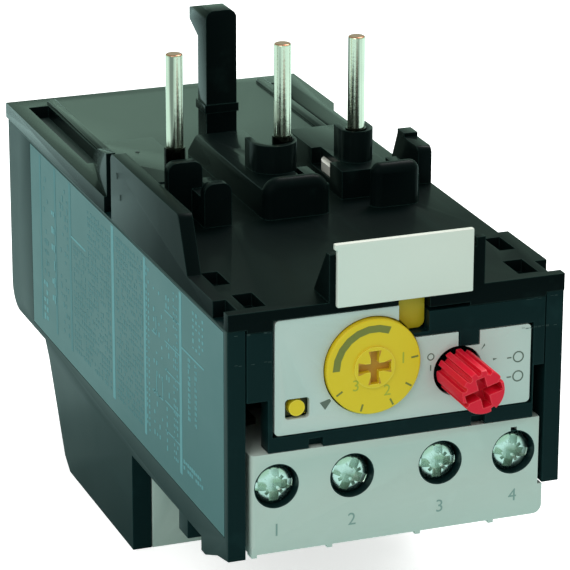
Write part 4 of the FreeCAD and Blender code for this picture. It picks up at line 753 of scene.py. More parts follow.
def make_dash_recipe() -> NodeRecipe:
    """Build the tree that lays columns of short dashes of uneven length."""
    recipe = NodeRecipe("dash_columns", {
        "Columns": "NodeSocketInt", "Rows": "NodeSocketInt", "Width": "NodeSocketFloat",
        "Height": "NodeSocketFloat", "Dash": "NodeSocketVector", "Share": "NodeSocketFloat",
        "Seed": "NodeSocketInt", "Turn": "NodeSocketVector", "Place": "NodeSocketVector",
        "Finish": "NodeSocketMaterial"})
    grid = recipe.node("GeometryNodeMeshGrid")
    recipe.feed("Width", grid.inputs["Size X"])
    recipe.feed("Height", grid.inputs["Size Y"])
    recipe.feed("Columns", grid.inputs["Vertices X"])
    recipe.feed("Rows", grid.inputs["Vertices Y"])
    keep = recipe.node("FunctionNodeRandomValue", data_type="BOOLEAN")
    recipe.feed("Share", keep.inputs["Probability"])
    recipe.feed("Seed", keep.inputs["Seed"])
    length = recipe.node("FunctionNodeRandomValue", data_type="FLOAT_VECTOR")
    length.inputs["Min"].default_value = (1.0, 0.35, 1.0)
    length.inputs["Max"].default_value = (1.0, 1.0, 1.0)
    recipe.feed("Seed", length.inputs["Seed"])
    dash = recipe.node("GeometryNodeMeshCube")
    recipe.feed("Dash", dash.inputs["Size"])
    spread = recipe.node("GeometryNodeInstanceOnPoints")
    recipe.link(grid.outputs["Mesh"], spread.inputs["Points"])
    recipe.link(keep.outputs["Value"], spread.inputs["Selection"])
    recipe.link(dash.outputs["Mesh"], spread.inputs["Instance"])
    recipe.link(length.outputs["Value"], spread.inputs["Scale"])
    move = recipe.node("GeometryNodeTransform")
    recipe.link(spread.outputs["Instances"], move.inputs["Geometry"])
    recipe.feed("Turn", move.inputs["Rotation"])
    recipe.feed("Place", move.inputs["Translation"])
    recipe.close(move.outputs["Geometry"])
    return recipe


def make_repeat_recipe() -> NodeRecipe:
    """Build the tree that stands one piece at every point, each turned a little about Y."""
    recipe = NodeRecipe("turned_repeats", {
        "Piece": "NodeSocketObject", "Swing": "NodeSocketFloat", "Seed": "NodeSocketInt",
        "Finish": "NodeSocketMaterial"})
    info = recipe.node("GeometryNodeObjectInfo")
    recipe.feed("Piece", info.inputs["Object"])
    turn = recipe.node("FunctionNodeRandomValue", data_type="FLOAT")
    back = recipe.node("ShaderNodeMath", operation="MULTIPLY")
    back.inputs[1].default_value = -1.0
    recipe.feed("Swing", back.inputs[0])
    recipe.link(back.outputs[0], turn.inputs[2])
    recipe.feed("Swing", turn.inputs[3])
    recipe.feed("Seed", turn.inputs["Seed"])
    about = recipe.node("ShaderNodeCombineXYZ")
    recipe.link(turn.outputs[1], about.inputs["Y"])
    spread = recipe.node("GeometryNodeInstanceOnPoints")
    recipe.feed("Geometry", spread.inputs["Points"])
    recipe.link(info.outputs["Geometry"], spread.inputs["Instance"])
    recipe.link(about.outputs["Vector"], spread.inputs["Rotation"])
    recipe.close(spread.outputs["Instances"])
    return recipe


@dataclass
class Recipes:
    """The geometry node trees, built once."""

    dashes: NodeRecipe = field(default_factory=make_dash_recipe)
    repeats: NodeRecipe = field(default_factory=make_repeat_recipe)


RECIPES = Recipes()


@dataclass(frozen=True)
class DashField:
    """A rectangle of unreadable dashes, in datum millimetres on a face."""

    corner: Point2
    size: Point2
    columns: int
    rows: int
    dash: Point2
    share: float = 0.85
    seed: int = 1

    def build(self, corner: Vector, axis: Axis) -> bpy.types.Mesh:
        """Return the dashes as a mesh.

        Args:
            corner: The low corner's point in the row frame.
            axis: The face's normal.

        Returns:
            The mesh, in the row frame.
        """
        quarter = math.pi / 2
        turn = (quarter, 0.0, quarter) if axis is Axis.X else (quarter, 0.0, 0.0)
        middle = corner.copy()
        middle[axis.value[1]] += self.size[0] / 2 * MM
        middle[axis.value[2]] += self.size[1] / 2 * MM
        return RECIPES.dashes.run(bpy.data.meshes.new("start"), {
            "Columns": self.columns, "Rows": self.rows, "Width": self.size[0] * MM, "Height": self.size[1] * MM,
            "Dash": (self.dash[0] * MM, self.dash[1] * MM, 2 * FlatPrint.THICKNESS * MM), "Share": self.share,
            "Seed": self.seed, "Turn": turn, "Place": tuple(middle), "Finish": PALETTE["pale_ink"]})


class FlatPrint:
    """Ink shapes that lie just proud of a flat face, as one piece."""

    THICKNESS = 0.02

    def __init__(self, name: str, axis: Axis, level: float, outward: float) -> None:
        """Set the face that is printed on.

        Args:
            name: The finished piece's name.
            axis: The face's normal.
            level: The face's place along it, in datum millimetres.
            outward: +1 or -1, the way the face looks.
        """
        self.builder = MeshBuilder(name)
        self.axis = axis
        self.level = level
        self.outward = outward
        self.count = 0

    def _point(self, spot: Point2) -> Vector:
        """Turn a pair of datum millimetres on the face into a point."""
        if self.axis is Axis.X:
            return DATUM.at(self.level, spot[0], spot[1])
        if self.axis is Axis.Y:
            return DATUM.at(spot[0], self.level, spot[1])
        return DATUM.at(spot[0], spot[1], self.level)

    def shape(self, outline: Sequence[Point2]) -> None:
        """Print one closed outline, given in datum millimetres on the face."""
        depth = Vector((0.0, 0.0, 0.0))
        depth[self.axis.value[0]] = self.outward * self.THICKNESS * MM
        self.builder.prism([self._point(spot) for spot in outline], depth)
        self.count += 1

    def bar(self, low: Point2, high: Point2) -> None:
        """Print a rectangle between two corners."""
        self.shape([low, (high[0], low[1]), high, (low[0], high[1])])

    def stroke(self, start: Point2, end: Point2, width: float) -> None:
        """Print a straight line of a width."""
        run = Vector(end) - Vector(start)
        side = Vector((-run.y, run.x)).normalized() * width / 2
        first, last = Vector(start), Vector(end)
        self.shape([tuple(first - side), tuple(last - side), tuple(last + side), tuple(first + side)])

    def ring(self, centre: Point2, radius: float, width: float, start: float = 0.0, end: float = 360.0) -> None:
        """Print a ring or a part of one, as short strokes of an even width."""
        steps = max(6, int(abs(end - start) / 15))
        outer = arc_points(centre, radius + width / 2, start, end, steps)
        inner = arc_points(centre, radius - width / 2, start, end, steps)
        for index in range(steps):
            self.shape([outer[index], outer[index + 1], inner[index + 1], inner[index]])

    def digits(self, text: str, centre: Point2, height: float, turn: float = 0.0, mirror: bool = False) -> None:
        """Print plain numbers.

        Args:
            text: The digits.
            centre: Their middle on the face.
            height: Their height in millimetres.
            turn: Turn about the face's normal in degrees.
            mirror: True where the face's first axis runs right to left as seen.
        """
        curve = bpy.data.curves.new(self.builder.name + "_text", "FONT")
        curve.body = text
        curve.align_x = "CENTER"
        curve.align_y = "CENTER"
        curve.size = height * 1.4
        curve.resolution_u = 3
        holder = bpy.data.objects.new(curve.name, curve)
        flat = bpy.data.meshes.new_from_object(holder)
        angle = math.radians(turn)
        sign = -1.0 if mirror else 1.0
        for polygon in flat.polygons:
            outline = []
            for index in polygon.vertices:
                x, y = flat.vertices[index].co.x, flat.vertices[index].co.y
                outline.append((centre[0] + sign * (x * math.cos(angle) - y * math.sin(angle)),
                                centre[1] + x * math.sin(angle) + y * math.cos(angle)))
            self.shape(outline)
        bpy.data.objects.remove(holder)
        bpy.data.curves.remove(curve)
        bpy.data.meshes.remove(flat)

    def window(self, centre: Point2, radius: float, low: Point2, high: Point2) -> None:
        """Print the rest of a rectangle round a disc.

        Args:
            centre: The disc's centre, inside the rectangle.
            radius: Its radius.
            low: The rectangle's low corner.
            high: Its high corner.
        """
        steps = 32
        inner = arc_points(centre, radius, 0.0, 360.0, steps)
        outer = []
        for spot in arc_points((0.0, 0.0), 1.0, 0.0, 360.0, steps):
            reach = min((limit - middle) / way for way, middle, limit in (
                (spot[0], centre[0], high[0] if spot[0] > 0 else low[0]),
                (spot[1], centre[1], high[1] if spot[1] > 0 else low[1])) if abs(way) > 1e-6)
            outer.append((centre[0] + spot[0] * reach, centre[1] + spot[1] * reach))
        for index in range(steps):
            self.shape([inner[index], outer[index], outer[index + 1], inner[index + 1]])

    def dashes(self, fields: Iterable["DashField"]) -> None:
        """Add fields of dashes to the piece."""
        for item in fields:
            mesh = item.build(self._point(item.corner), self.axis)
            self.count += len(mesh.polygons) // 6
            self.builder.mesh.from_mesh(mesh)
            bpy.data.meshes.remove(mesh)
        for face in self.builder.mesh.faces:
            face.material_index = 0

    def finish(self, material: bpy.types.Material, body: str, slot: str) -> bpy.types.Object:
        """Make the piece, ride it on its body and report it."""
        made = self.builder.finish([material])
        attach(made, body)
        LOG.info("%s: %d printed shapes", made.name, self.count)
        return made


def coat(nodes: Iterable[str], material: bpy.types.Material) -> None:
    """Give CAD nodes one material on every slot.

    Args:
        nodes: The nodes' names.
        material: Their material.
    """
    for name in nodes:
        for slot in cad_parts[name].material_slots:
            slot.material = material


def level_of(name: str) -> float:
    """Return the front of a CAD node, in datum millimetres behind the front face."""
    return (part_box(name)[0][1] - DATUM.front) / MM


def softened(name: str, material: bpy.types.Material, body: str, width: float = 0.22,
             segments: int = 2) -> bpy.types.Object:
    """Stand a copy with moulded edges in for a CAD node.

    The copy is welded, its flat areas are dissolved into single faces, and its sharp edges are
    bevelled.

    Args:
        name: The CAD node.
        material: The copy's material.
        body: The body that the node rides on.
        width: Bevel width in millimetres.
        segments: Bevel segments.

    Returns:
        The copy.
    """
    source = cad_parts[name]
    work = bmesh.new()
    work.from_mesh(source.data)
    bmesh.ops.remove_doubles(work, verts=work.verts, dist=0.004 * MM)
    bmesh.ops.dissolve_limit(work, angle_limit=math.radians(1.0), verts=work.verts, edges=work.edges)
    bmesh.ops.recalc_face_normals(work, faces=work.faces)
    for face in work.faces:
        face.smooth = True
    data = bpy.data.meshes.new(name + "_moulded")
    work.to_mesh(data)
    work.free()
    data.materials.append(material)
    made = bpy.data.objects.new(name + "_moulded", data)
    bpy.context.scene.collection.objects.link(made)
    bevel = made.modifiers.new("edges", "BEVEL")
    bevel.width = width * MM
    bevel.segments = segments
    bevel.limit_method = "ANGLE"
    bevel.angle_limit = math.radians(35.0)
    bevel.harden_normals = True
    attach(made, body)
    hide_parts(name)
    LOG.info("%s: edges softened by %.2f mm", made.name, width)
    return made


# ---------------------------------------------------------------------------------------------
# The relay's sub-assemblies
# ---------------------------------------------------------------------------------------------

@dataclass
class Housing:
    """The black lower housing, the cover on it and the frame across its front."""

    edge: float = 0.2
    seam_low: float = -6.8
    seam_high: float = -2.95
    seam_inner: float = 17.0
    seam_outer: float = 21.4
    marks: tuple[Point2, ...] = ((43.46, 4.64), (42.08, 2.0))
    mark_halves: Point2 = (0.24, 0.42)
    pit: Point2 = (-12.17, 66.16)
    pit_level: float = 0.2
    groove_floor: float = -1.8
    groove_span: tuple[Point2, Point2] = ((-18.9, 64.1), (-17.21, 92.4))

    def build(self) -> None:
        """Dress the three mouldings, add their small marks and paint shade in the left groove and the deck's pit.
        """
        softened("lower_housing", PALETTE["housing"], "base", self.edge)
        softened("top_cover", PALETTE["deck"], "base", self.edge)
        softened("front_frame", PALETTE["housing"], "base", self.edge * 0.6)
        self._add_seams()
        self._add_marks()
        LOG.info("housing: three mouldings")

    def _add_seams(self) -> None:
        """Add the faint broken parting lines across the front columns."""
        seams = FlatPrint("column_seams", Axis.Y, min(level_of("lower_housing"), level_of("front_frame")), -1.0)
        length = self.seam_outer - self.seam_inner
        fields = []
        for index, level in enumerate((self.seam_low, self.seam_high)):
            for side, low in ((0, -self.seam_outer), (1, self.seam_inner)):
                fields.append(DashField((low, level), (length, 0.12), 9, 2, (0.42, 0.07), 0.5, 2 * index + side))
        seams.dashes(fields)
        seams.finish(PALETTE["seam_ink"], "base", "black_plastic")

    def _add_marks(self) -> None:
        """Add the wall's gate marks, and paint shade dark on the floor of the left groove and in the small pit in
        the deck.
        """
        wall = FlatPrint("wall_marks", Axis.X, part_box("top_cover")[0][0] / MM, -1.0)
        for y, z in self.marks:
            wall.shape([(y + self.mark_halves[0] * math.cos(angle), z + self.mark_halves[1] * math.sin(angle))
                        for angle in (2.0 * math.pi * index / 14 for index in range(14))])
        wall.finish(PALETTE["pitch"], "base", "black_plastic")
        # Painted shade: a near-black sheet along the groove's floor, and a dark disc in the pit.
        floor = FlatPrint("groove_floor", Axis.Z, self.groove_floor, 1.0)
        floor.bar(*self.groove_span)
        floor.finish(PALETTE["pitch"], "base", "black_plastic")
        deck = FlatPrint("deck_pit", Axis.Z, self.pit_level, 1.0)
        deck.shape(arc_points(self.pit, 0.3, 0.0, 340.0, 17))
        deck.finish(PALETTE["pitch"], "base", "black_plastic")


@dataclass
class SideLabel:
    """The printed film on the left side, with rules and columns of unreadable dashes."""

    strong: tuple[Point2, ...] = ((17.3, 18.2), (31.75, 32.55), (45.25, 46.3))
    faint: tuple[Point2, ...] = ((64.7, 65.6), (71.9, 72.7), (79.1, 79.8))
    rule_low: float = -27.8
    rule_high: float = -3.0

    def build(self) -> None:
        """Dress the film and print on it."""
        coat(["side_label"], PALETTE["label"])
        self._print_strong()
        self._print_soft()
        LOG.info("side label: film and print")

    def _sheet(self, name: str) -> FlatPrint:
        """Start a print on the film's outer face."""
        return FlatPrint(name, Axis.X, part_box("side_label")[0][0] / MM, -1.0)

    def _print_strong(self) -> None:
        """Print the strong rules, the table and the small columns at the front."""
        sheet = self._sheet("label_rules")
        for low, high in self.strong:
            sheet.bar((low, self.rule_low), (high, self.rule_high))
        for level in (-7.5, -11.7, -15.6, -20.0, -24.0):
            sheet.bar((18.2, level - 0.1), (24.0, level + 0.1))
        sheet.bar((8.8, -10.4), (17.3, -10.15))
        sheet.bar((58.0, -10.75), (64.7, -10.45))
        for y, low, high in ((27.4, -12.2, -9.6), (27.4, -20.4, -17.4), (24.9, -20.4, -17.4)):
            sheet.bar((y, low), (y + 0.22, high))
            sheet.bar((y + 0.22, low), (y + 1.8, low + 0.22))
        sheet.dashes([
            DashField((9.2, -8.7), (3.6, 4.6), 4, 6, (0.55, 0.62), 0.9, 3),
            DashField((11.7, -19.0), (0.45, 8.0), 2, 11, (0.3, 0.62), 0.85, 4),
            DashField((14.2, -19.0), (0.5, 8.0), 2, 11, (0.36, 0.62), 0.9, 5),
            DashField((9.6, -26.5), (7.0, 0.85), 10, 2, (0.55, 0.6), 0.85, 6),
            DashField((19.1, -26.6), (1.3, 22.6), 3, 26, (0.36, 0.6), 0.8, 7),
            DashField((22.4, -26.4), (0.9, 20.8), 2, 20, (0.4, 0.8), 0.45, 8),
            DashField((25.2, -26.0), (3.2, 20.0), 4, 15, (0.42, 0.75), 0.5, 9),
            DashField((30.5, -26.6), (0.9, 22.4), 2, 28, (0.42, 0.6), 0.85, 10),
            DashField((72.9, -22.8), (1.0, 12.8), 2, 6, (0.8, 1.5), 0.75, 11),
            DashField((77.0, -27.0), (1.2, 5.2), 2, 5, (0.8, 1.0), 0.85, 12),
        ])
        sheet.finish(PALETTE["pale_ink"], "base", "label_grey")

    def _print_soft(self) -> None:
        """Print the fainter rules and the dense columns."""
        sheet = self._sheet("label_columns")
        for low, high in self.faint:
            sheet.bar((low, self.rule_low), (high, self.rule_high))
        sheet.dashes([
            DashField((33.4, -26.8), (10.8, 22.6), 15, 28, (0.36, 0.66), 0.78, 21),
            DashField((47.2, -26.8), (9.6, 22.2), 13, 27, (0.36, 0.66), 0.75, 22),
            DashField((57.6, -26.8), (6.0, 15.2), 8, 19, (0.36, 0.66), 0.75, 23),
            DashField((66.6, -26.0), (3.2, 21.0), 4, 17, (0.5, 0.9), 0.5, 24),
            DashField((76.2, -20.0), (1.6, 14.0), 3, 10, (0.5, 0.9), 0.4, 25),
        ])
        sheet.finish(PALETTE["soft_ink"], "base", "label_grey")


CORNERS = ((-1, -1), (1, -1), (1, 1), (-1, 1))


def carve(piece: bpy.types.Object, cutters: Sequence[bpy.types.Object]) -> None:
    """Cut solids out of a piece, leave it as a plain mesh, and delete the cutters.

    Args:
        piece: The piece to cut.
        cutters: The solids to cut out of it.
    """
    for cutter in cutters:
        cut = piece.modifiers.new("recess", "BOOLEAN")
        cut.operation = "DIFFERENCE"
        cut.solver = "EXACT"
        cut.object = cutter
    depsgraph = bpy.context.evaluated_depsgraph_get()
    mesh = bpy.data.meshes.new_from_object(piece.evaluated_get(depsgraph), depsgraph=depsgraph)
    piece.modifiers.clear()
    piece.data = mesh
    for cutter in cutters:
        bpy.data.objects.remove(cutter)


@dataclass(frozen=True)
class DriveScrew:
    """A domed screw head with a full slot, a deep cross and four small wings between its arms."""

    radius: float
    thick: float
    shank: float
    length: float
    slot_width: float = 1.25
    slot_depth: float = 0.6
    cross_depth: float = 1.8
    cross_share: float = 0.78
    wing_share: float = 0.62

    def _cutter(self, half_across: float, half_along: float, depth: float, turn: float) -> bpy.types.Object:
        """Return a tapered block that cuts one arm into the head's front.

        Args:
            half_across: Half its width at the mouth.
            half_along: Half its length at the mouth.
            depth: How deep it goes.
            turn: Its turn about Y in degrees.

        Returns:
            The cutter.
        """
        builder = MeshBuilder("cutter")
        spin = Matrix.Rotation(math.radians(turn), 3, "Y")
        rings = []
        for along, share in ((-0.6, 1.08), (depth, 0.76)):
            wide, high = half_along * share * MM, half_across * share * MM
            rings.append([spin @ Vector((across * wide, along * MM, up * high))
                          for across, up in CORNERS])
        builder.prism_between(rings[0], rings[1])
        return builder.finish([])

    def build(self) -> bpy.types.Object:
        """Return one screw whose head's front face is centred on the origin."""
        builder = MeshBuilder("screw")
        full, thick = self.radius * MM, self.thick * MM
        profile = [(0.0, 0.0), (full * 0.55, 0.02 * MM), (full * 0.78, 0.14 * MM), (full * 0.93, 0.42 * MM),
                   (full, 0.85 * MM), (full, thick), (self.shank * MM, thick),
                   (self.shank * MM, self.length * MM), (0.0, self.length * MM)]
        builder.lathe(Vector((0.0, 0.0, 0.0)), profile, sides=56)
        screw = builder.finish([], smooth_angle=40.0)
        half = self.slot_width / 2
        cutters = [self._cutter(half, self.radius * 1.2, self.slot_depth, 0.0),
                   self._cutter(half, self.radius * self.cross_share, self.cross_depth, 0.0),
                   self._cutter(half, self.radius * self.cross_share, self.cross_depth, 90.0),
                   self._cutter(half * 0.4, self.radius * self.wing_share, self.cross_depth * 0.45, 45.0),
                   self._cutter(half * 0.4, self.radius * self.wing_share, self.cross_depth * 0.45, 135.0)]
        carve(screw, cutters)
        return screw


@dataclass(frozen=True)
class FlutedKnob:
    """A fluted grip with a turned cross slot in its front."""

    edge: float = 0.35
    flute_angles: tuple[float, ...] = (30.0, 75.0, 105.0, 135.0, 165.0, 210.0, 300.0)
    flute_width: float = 0.85
    flute_depth: float = 0.55
    cross_turn: float = 16.0
    cross_long: float = 2.5
    cross_short: float = 2.0
    cross_width: float = 1.2
    cross_depth: float = 2.2
    overshoot: float = 0.5

    def _flute(self, radius: float, length: float, angle: float) -> bpy.types.Object:
        """Return a cutter that tapers inwards and runs the grip's whole length.

        Args:
            radius: The grip's radius in millimetres.
            length: Its length in millimetres.
            angle: The flute's place round the grip, in degrees.

        Returns:
            The cutter.
        """
        builder = MeshBuilder("flute")
        spin = Matrix.Rotation(math.radians(-angle), 3, "Y")
        half, inner = self.flute_width / 2, self.flute_width * 0.28
        section = ((radius - self.flute_depth, -inner), (radius + 0.4, -half - 0.1),
                   (radius + 0.4, half + 0.1), (radius - self.flute_depth, inner))
        rings = [[spin @ Vector((out * MM, along * MM, side * MM)) for out, side in section]
                 for along in (-self.overshoot, length + self.overshoot)]
        builder.prism_between(rings[0], rings[1])
        return builder.finish([])

    def _arm(self, half_long: float, half_short: float) -> bpy.types.Object:
        """Return a cutter for one bar of the cross.

        Args:
            half_long: Half its length before the turn, in millimetres.
            half_short: Half its height before the turn, in millimetres.

        Returns:
            The cutter.
        """
        builder = MeshBuilder("arm")
        spin = Matrix.Rotation(math.radians(-self.cross_turn), 3, "Y")
        rings = [[spin @ Vector((across * half_long * MM, along * MM, up * half_short * MM))
                  for across, up in CORNERS]
                 for along in (-self.overshoot, self.cross_depth)]
        builder.prism_between(rings[0], rings[1])
        return builder.finish([])

    def build(self, node: str) -> bpy.types.Object:
        """Stand the fluted grip in for a CAD node.

        Args:
            node: The CAD node of the knob.

        Returns:
            The grip.
        """
        low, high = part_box(node)
        radius, length = (high[2] - low[2]) / MM / 2, (high[1] - low[1]) / MM
        builder = MeshBuilder(node + "_fluted")
        profile = [(0.0, 0.0), ((radius - self.edge) * MM, 0.0), ((radius - 0.1) * MM, 0.1 * MM),
                   (radius * MM, self.edge * MM), (radius * MM, length * MM), (0.0, length * MM)]
        builder.lathe(Vector((0.0, 0.0, 0.0)), profile, sides=72)
        knob = builder.finish([PALETTE["knob"]], smooth_angle=35.0)
        half = self.cross_width / 2
        cutters = [self._flute(radius, length, angle) for angle in self.flute_angles]
        cutters += [self._arm(self.cross_long, half), self._arm(half, self.cross_short)]
        carve(knob, cutters)
        centre = Vector(((low[0] + high[0]) / 2, low[1], (low[2] + high[2]) / 2))
        knob.data.transform(Matrix.Translation(centre))
        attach(knob, "knob")
        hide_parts(node)
        LOG.info("%s: %d flutes", knob.name, len(self.flute_angles))
        return knob


@dataclass
class Terminals:
    """The pale terminal blocks with their screws, clamps and contacts."""

    aux_places: tuple[float, ...] = (-16.08, -5.98, 5.98, 16.08)
    aux_drop: float = -23.4
    aux_rise: float = 1.4
    aux_sink: float = 0.2
    load_places: tuple[float, ...] = (-13.0, 0.0, 13.0)
    load_drop: float = -38.2
    block_edge: float = 0.25
    number_drop: float = -29.4
    number_height: float = 1.7
    phase_drop: float = -44.6
    phase_height: float = 2.4
    # Dark sleeves in the auxiliary wells: painted shade on the wells' walls.
    sleeve_radius: float = 2.96
    sleeve_wall: float = 0.1
    sleeve_inset: float = 0.05
    sleeve_length: float = 3.6
    screw_swing: float = math.radians(24.0)

    def build(self) -> None:
        """Dress both blocks and their metal."""
        for block in ("aux_terminal_block", "load_terminal_block"):
            softened(block, PALETTE["block"], "base", self.block_edge)
        coat(["aux_clamps", "load_clamps"], PALETTE["zinc"])
        coat(["load_straps", "line_straps"], PALETTE["copper"])
        coat(["aux_contacts"], PALETTE["brass"])
        self._add_screws("aux_screws", DriveScrew(radius=2.75, thick=1.9, shank=1.5, length=11.3),
                         self.aux_places, self.aux_drop - self.aux_sink, 5, self.aux_rise)
        low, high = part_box("load_screws")
        load_screw = DriveScrew(radius=(high[2] - low[2]) / MM / 2, thick=2.0, shank=1.8,
                                length=(high[1] - low[1]) / MM)
        self._add_screws("load_screws", load_screw, self.load_places, self.load_drop, 2, 0.0)
        self._add_sleeves()
        self._add_numbers("terminal_numbers", "aux_terminal_block", zip((1, 2, 3, 4), self.aux_places),
                          self.number_drop, self.number_height)
        self._add_numbers("phase_numbers", "load_terminal_block", zip((2, 4, 6), self.load_places),
                          self.phase_drop, self.phase_height)
        LOG.info("terminals: two blocks with seven screws")

    def _repeat(self, name: str, piece: bpy.types.Object, spots: Sequence[Point3], swing: float, seed: int,
                finish: str) -> bpy.types.Object:
        """Set copies of a piece at some spots, and delete the piece.

        Args:
            name: The name of the object that holds the copies.
            piece: The piece to copy.
            spots: Where the copies go, in metres.
            swing: The largest turn of a copy, in radians.
            seed: Seed of the turns.
            finish: The copies' finish.

        Returns:
            The object, which rides on the base.
        """
        points = bpy.data.meshes.new("places")
        points.from_pydata(spots, [], [])
        mesh = RECIPES.repeats.run(points, {"Piece": piece, "Swing": swing, "Seed": seed,
                                            "Finish": PALETTE[finish]})
        bpy.data.objects.remove(piece)
        made = bpy.data.objects.new(name, mesh)
        bpy.context.scene.collection.objects.link(made)
        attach(made, "base")
        LOG.info("%s: %d copies", made.name, len(spots))
        return made

    def _add_sleeves(self) -> None:
        """Line the auxiliary screws' wells with dark sleeves, as painted shade on the wells' walls."""
        builder = MeshBuilder("liner")
        builder.tube(Vector((0.0, self.sleeve_inset * MM, 0.0)), self.sleeve_radius * MM,
                     (self.sleeve_radius - self.sleeve_wall) * MM, self.sleeve_length * MM)
        level = level_of("aux_terminal_block")
        made = self._repeat("aux_liners", builder.finish([], smooth_angle=40.0),
                            [DATUM.at(x, level, self.aux_drop) for x in self.aux_places], 0.0, 1, "housing")

    def _add_screws(self, node: str, screw: DriveScrew, places: Sequence[float], drop: float, seed: int,
                    rise: float) -> None:
        """Stand detailed screws in for a CAD node's screws.

        Args:
            node: The CAD node.
            screw: The screw's sizes.
            places: The screws' places across the relay.
            drop: Their level.
            seed: Seed of their turns.
            rise: How far their heads stand in front of the node's, in millimetres.
        """
        spots = [DATUM.at(x, level_of(node) - rise, drop) for x in places]
        made = self._repeat(node + "_driven", screw.build(), spots, self.screw_swing, seed, "zinc")
        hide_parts(node)

    def _add_numbers(self, name: str, block: str, marks: Iterable[tuple[int, float]], drop: float,
                     height: float) -> None:
        """Print plain numbers on a block's front.

        Args:
            name: The print's name.
            block: The CAD node of the block.
            marks: Each number and its place across the relay.
            drop: Their level.
            height: Their height in millimetres.
        """
        sheet = FlatPrint(name, Axis.Y, level_of(block), -1.0)
        for number, x in marks:
            sheet.digits(str(number), (x, drop), height)
        sheet.finish(PALETTE["mark_ink"], "base", "pale_grey_plastic")


@dataclass
class Pins:
    """The three plug-in pins and their bushes."""

    root_top: float = 8.6

    def build(self) -> None:
        """Dress the pins."""
        cut_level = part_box("phase_pin_1")[1][2] - 0.12 * MM
        # Below this level the pins are darkened as painted shade.
        foot_level = DATUM.at(0.0, 0.0, self.root_top)[2]
        tinned = TinnedPin("pin_tin", (0.98, 0.90, 0.75), (0.55, 0.19, 0.12), cut_level, foot_level).build()
        coat(["phase_pin_1", "phase_pin_2", "phase_pin_3"], tinned)
        coat(["pin_bushes"], PALETTE["tag"])
        LOG.info("pins: three")


@dataclass
class Controls:
    """The dial, the knob, the test button, the flag and the tag."""

    dial_centre: Point2 = (-3.44, -9.0)
    dial_level: float = -0.6
    ring_level: float = -0.85
    cross_level: float = -0.05
    cross_reach: float = 2.18
    cross_half: float = 0.56
    cross_gap: float = 0.01
    flare: tuple[Point2, ...] = ((1.25, 0.575), (2.2, 0.575), (2.2, 0.86))
    tick_angles: tuple[float, ...] = (7.0, -32.0, -64.0, -107.0, -147.0)
    number_spots: tuple[Point2, ...] = ((0.45, -8.35), (-1.65, -12.35), (-5.85, -11.25))
    button_centre: Point2 = (-13.36, -13.4)
    button_window: tuple[Point2, Point2] = ((-14.85, -14.65), (-11.8, -12.25))
    button_level: float = 1.25

    def build(self) -> None:
        """Dress the controls and print their scales."""
        softened("front_plate", PALETTE["plate"], "base", 0.1)
        softened("marker_tag", PALETTE["tag"], "base", 0.15)
        coat(["current_dial", "dial_cam"], PALETTE["dial"])
        softened("trip_flag", PALETTE["flag"], "flag", 0.15)
        coat(["test_button"], PALETTE["dial"])
        FlutedKnob().build("reset_knob")
        self._print_dial()
        self._print_plate()
        LOG.info("controls: plate, tag, dial, flag, button and knob")

    def _print_dial(self) -> None:
        """Print the dial's arc, ticks and numbers, and paint shade as an orange tone on the floor of its cross
        slot and on the flares round it.
        """
        scale = FlatPrint("dial_scale", Axis.Y, self.dial_level, -1.0)
        scale.ring(self.dial_centre, 5.05, 0.95, 66.0, 180.0)
        for angle in self.tick_angles:
            start, end = (arc_points(self.dial_centre, radius, angle, angle, 1)[0] for radius in (5.0, 5.95))
            scale.stroke(start, end, 0.24)
        scale.finish(PALETTE["dial_ink"], "dial", "yellow_plastic")
        numbers = FlatPrint("dial_numbers", Axis.Y, self.dial_level, -1.0)
        for number, spot in enumerate(self.number_spots, 1):
            numbers.digits(str(number), spot, 1.5)
        numbers.finish(PALETTE["faint_ink"], "dial", "yellow_plastic")
        # Painted shade: the cross slot's floor and the flares at its arms' ends are given an orange tone.
        floor = FlatPrint("dial_cross_floor", Axis.Y, self.cross_level, -1.0)
        x, z = self.dial_centre
        half, start = self.cross_half, self.cross_half + self.cross_gap
        floor.bar((x - self.cross_reach, z - half), (x + self.cross_reach, z + half))
        floor.bar((x - half, z + start), (x + half, z + self.cross_reach))
        floor.bar((x - half, z - self.cross_reach), (x + half, z - start))
        floor.finish(PALETTE["recess"], "dial", "yellow_plastic")
        flare = FlatPrint("dial_cross_flare", Axis.Y, self.ring_level, -1.0)
        for turn in range(4):
            angle = math.pi / 2 * turn
            for hand in (-1.0, 1.0):
                flare.shape([(x + along * math.cos(angle) - hand * across * math.sin(angle),
                              z + along * math.sin(angle) + hand * across * math.cos(angle))
                             for along, across in self.flare])
        flare.finish(PALETTE["recess"], "dial", "yellow_plastic")

    def _print_plate(self) -> None:
        """Print the pointer, the rings and the dashes on the plate, and shade the button's window."""
        marks = FlatPrint("plate_marks", Axis.Y, level_of("front_plate"), -1.0)
        broad = [arc_points(self.dial_centre, 8.05, angle, angle, 1)[0] for angle in (219.5, 210.5)]
        near = [arc_points(self.dial_centre, 6.75, angle, angle, 1)[0] for angle in (213.5, 216.5)]
        marks.shape([broad[0], broad[1], near[0], near[1]])
        marks.ring((4.46, -8.96), 0.42, 0.14)
        marks.stroke((4.46, -10.05), (4.46, -10.8), 0.16)
        for x, z in ((16.46, -10.5), (16.46, -13.1)):
            marks.ring((x, z), 0.68, 0.17)
            marks.stroke((x - 1.55, z), (x - 0.95, z), 0.16)
        marks.shape([(11.3, -8.9), (11.75, -8.1), (11.85, -8.35)])
        marks.shape([(12.95, -10.25), (13.5, -10.35), (13.0, -10.55)])
        marks.finish(PALETTE["grey_ink"], "base", "pale_grey_plastic")
        low, high = self.button_window
        window = FlatPrint("button_window", Axis.Y, self.button_level, -1.0)
        window.window(self.button_centre, 1.1, low, high)
        window.finish(PALETTE["shadow"], "test", "yellow_plastic")


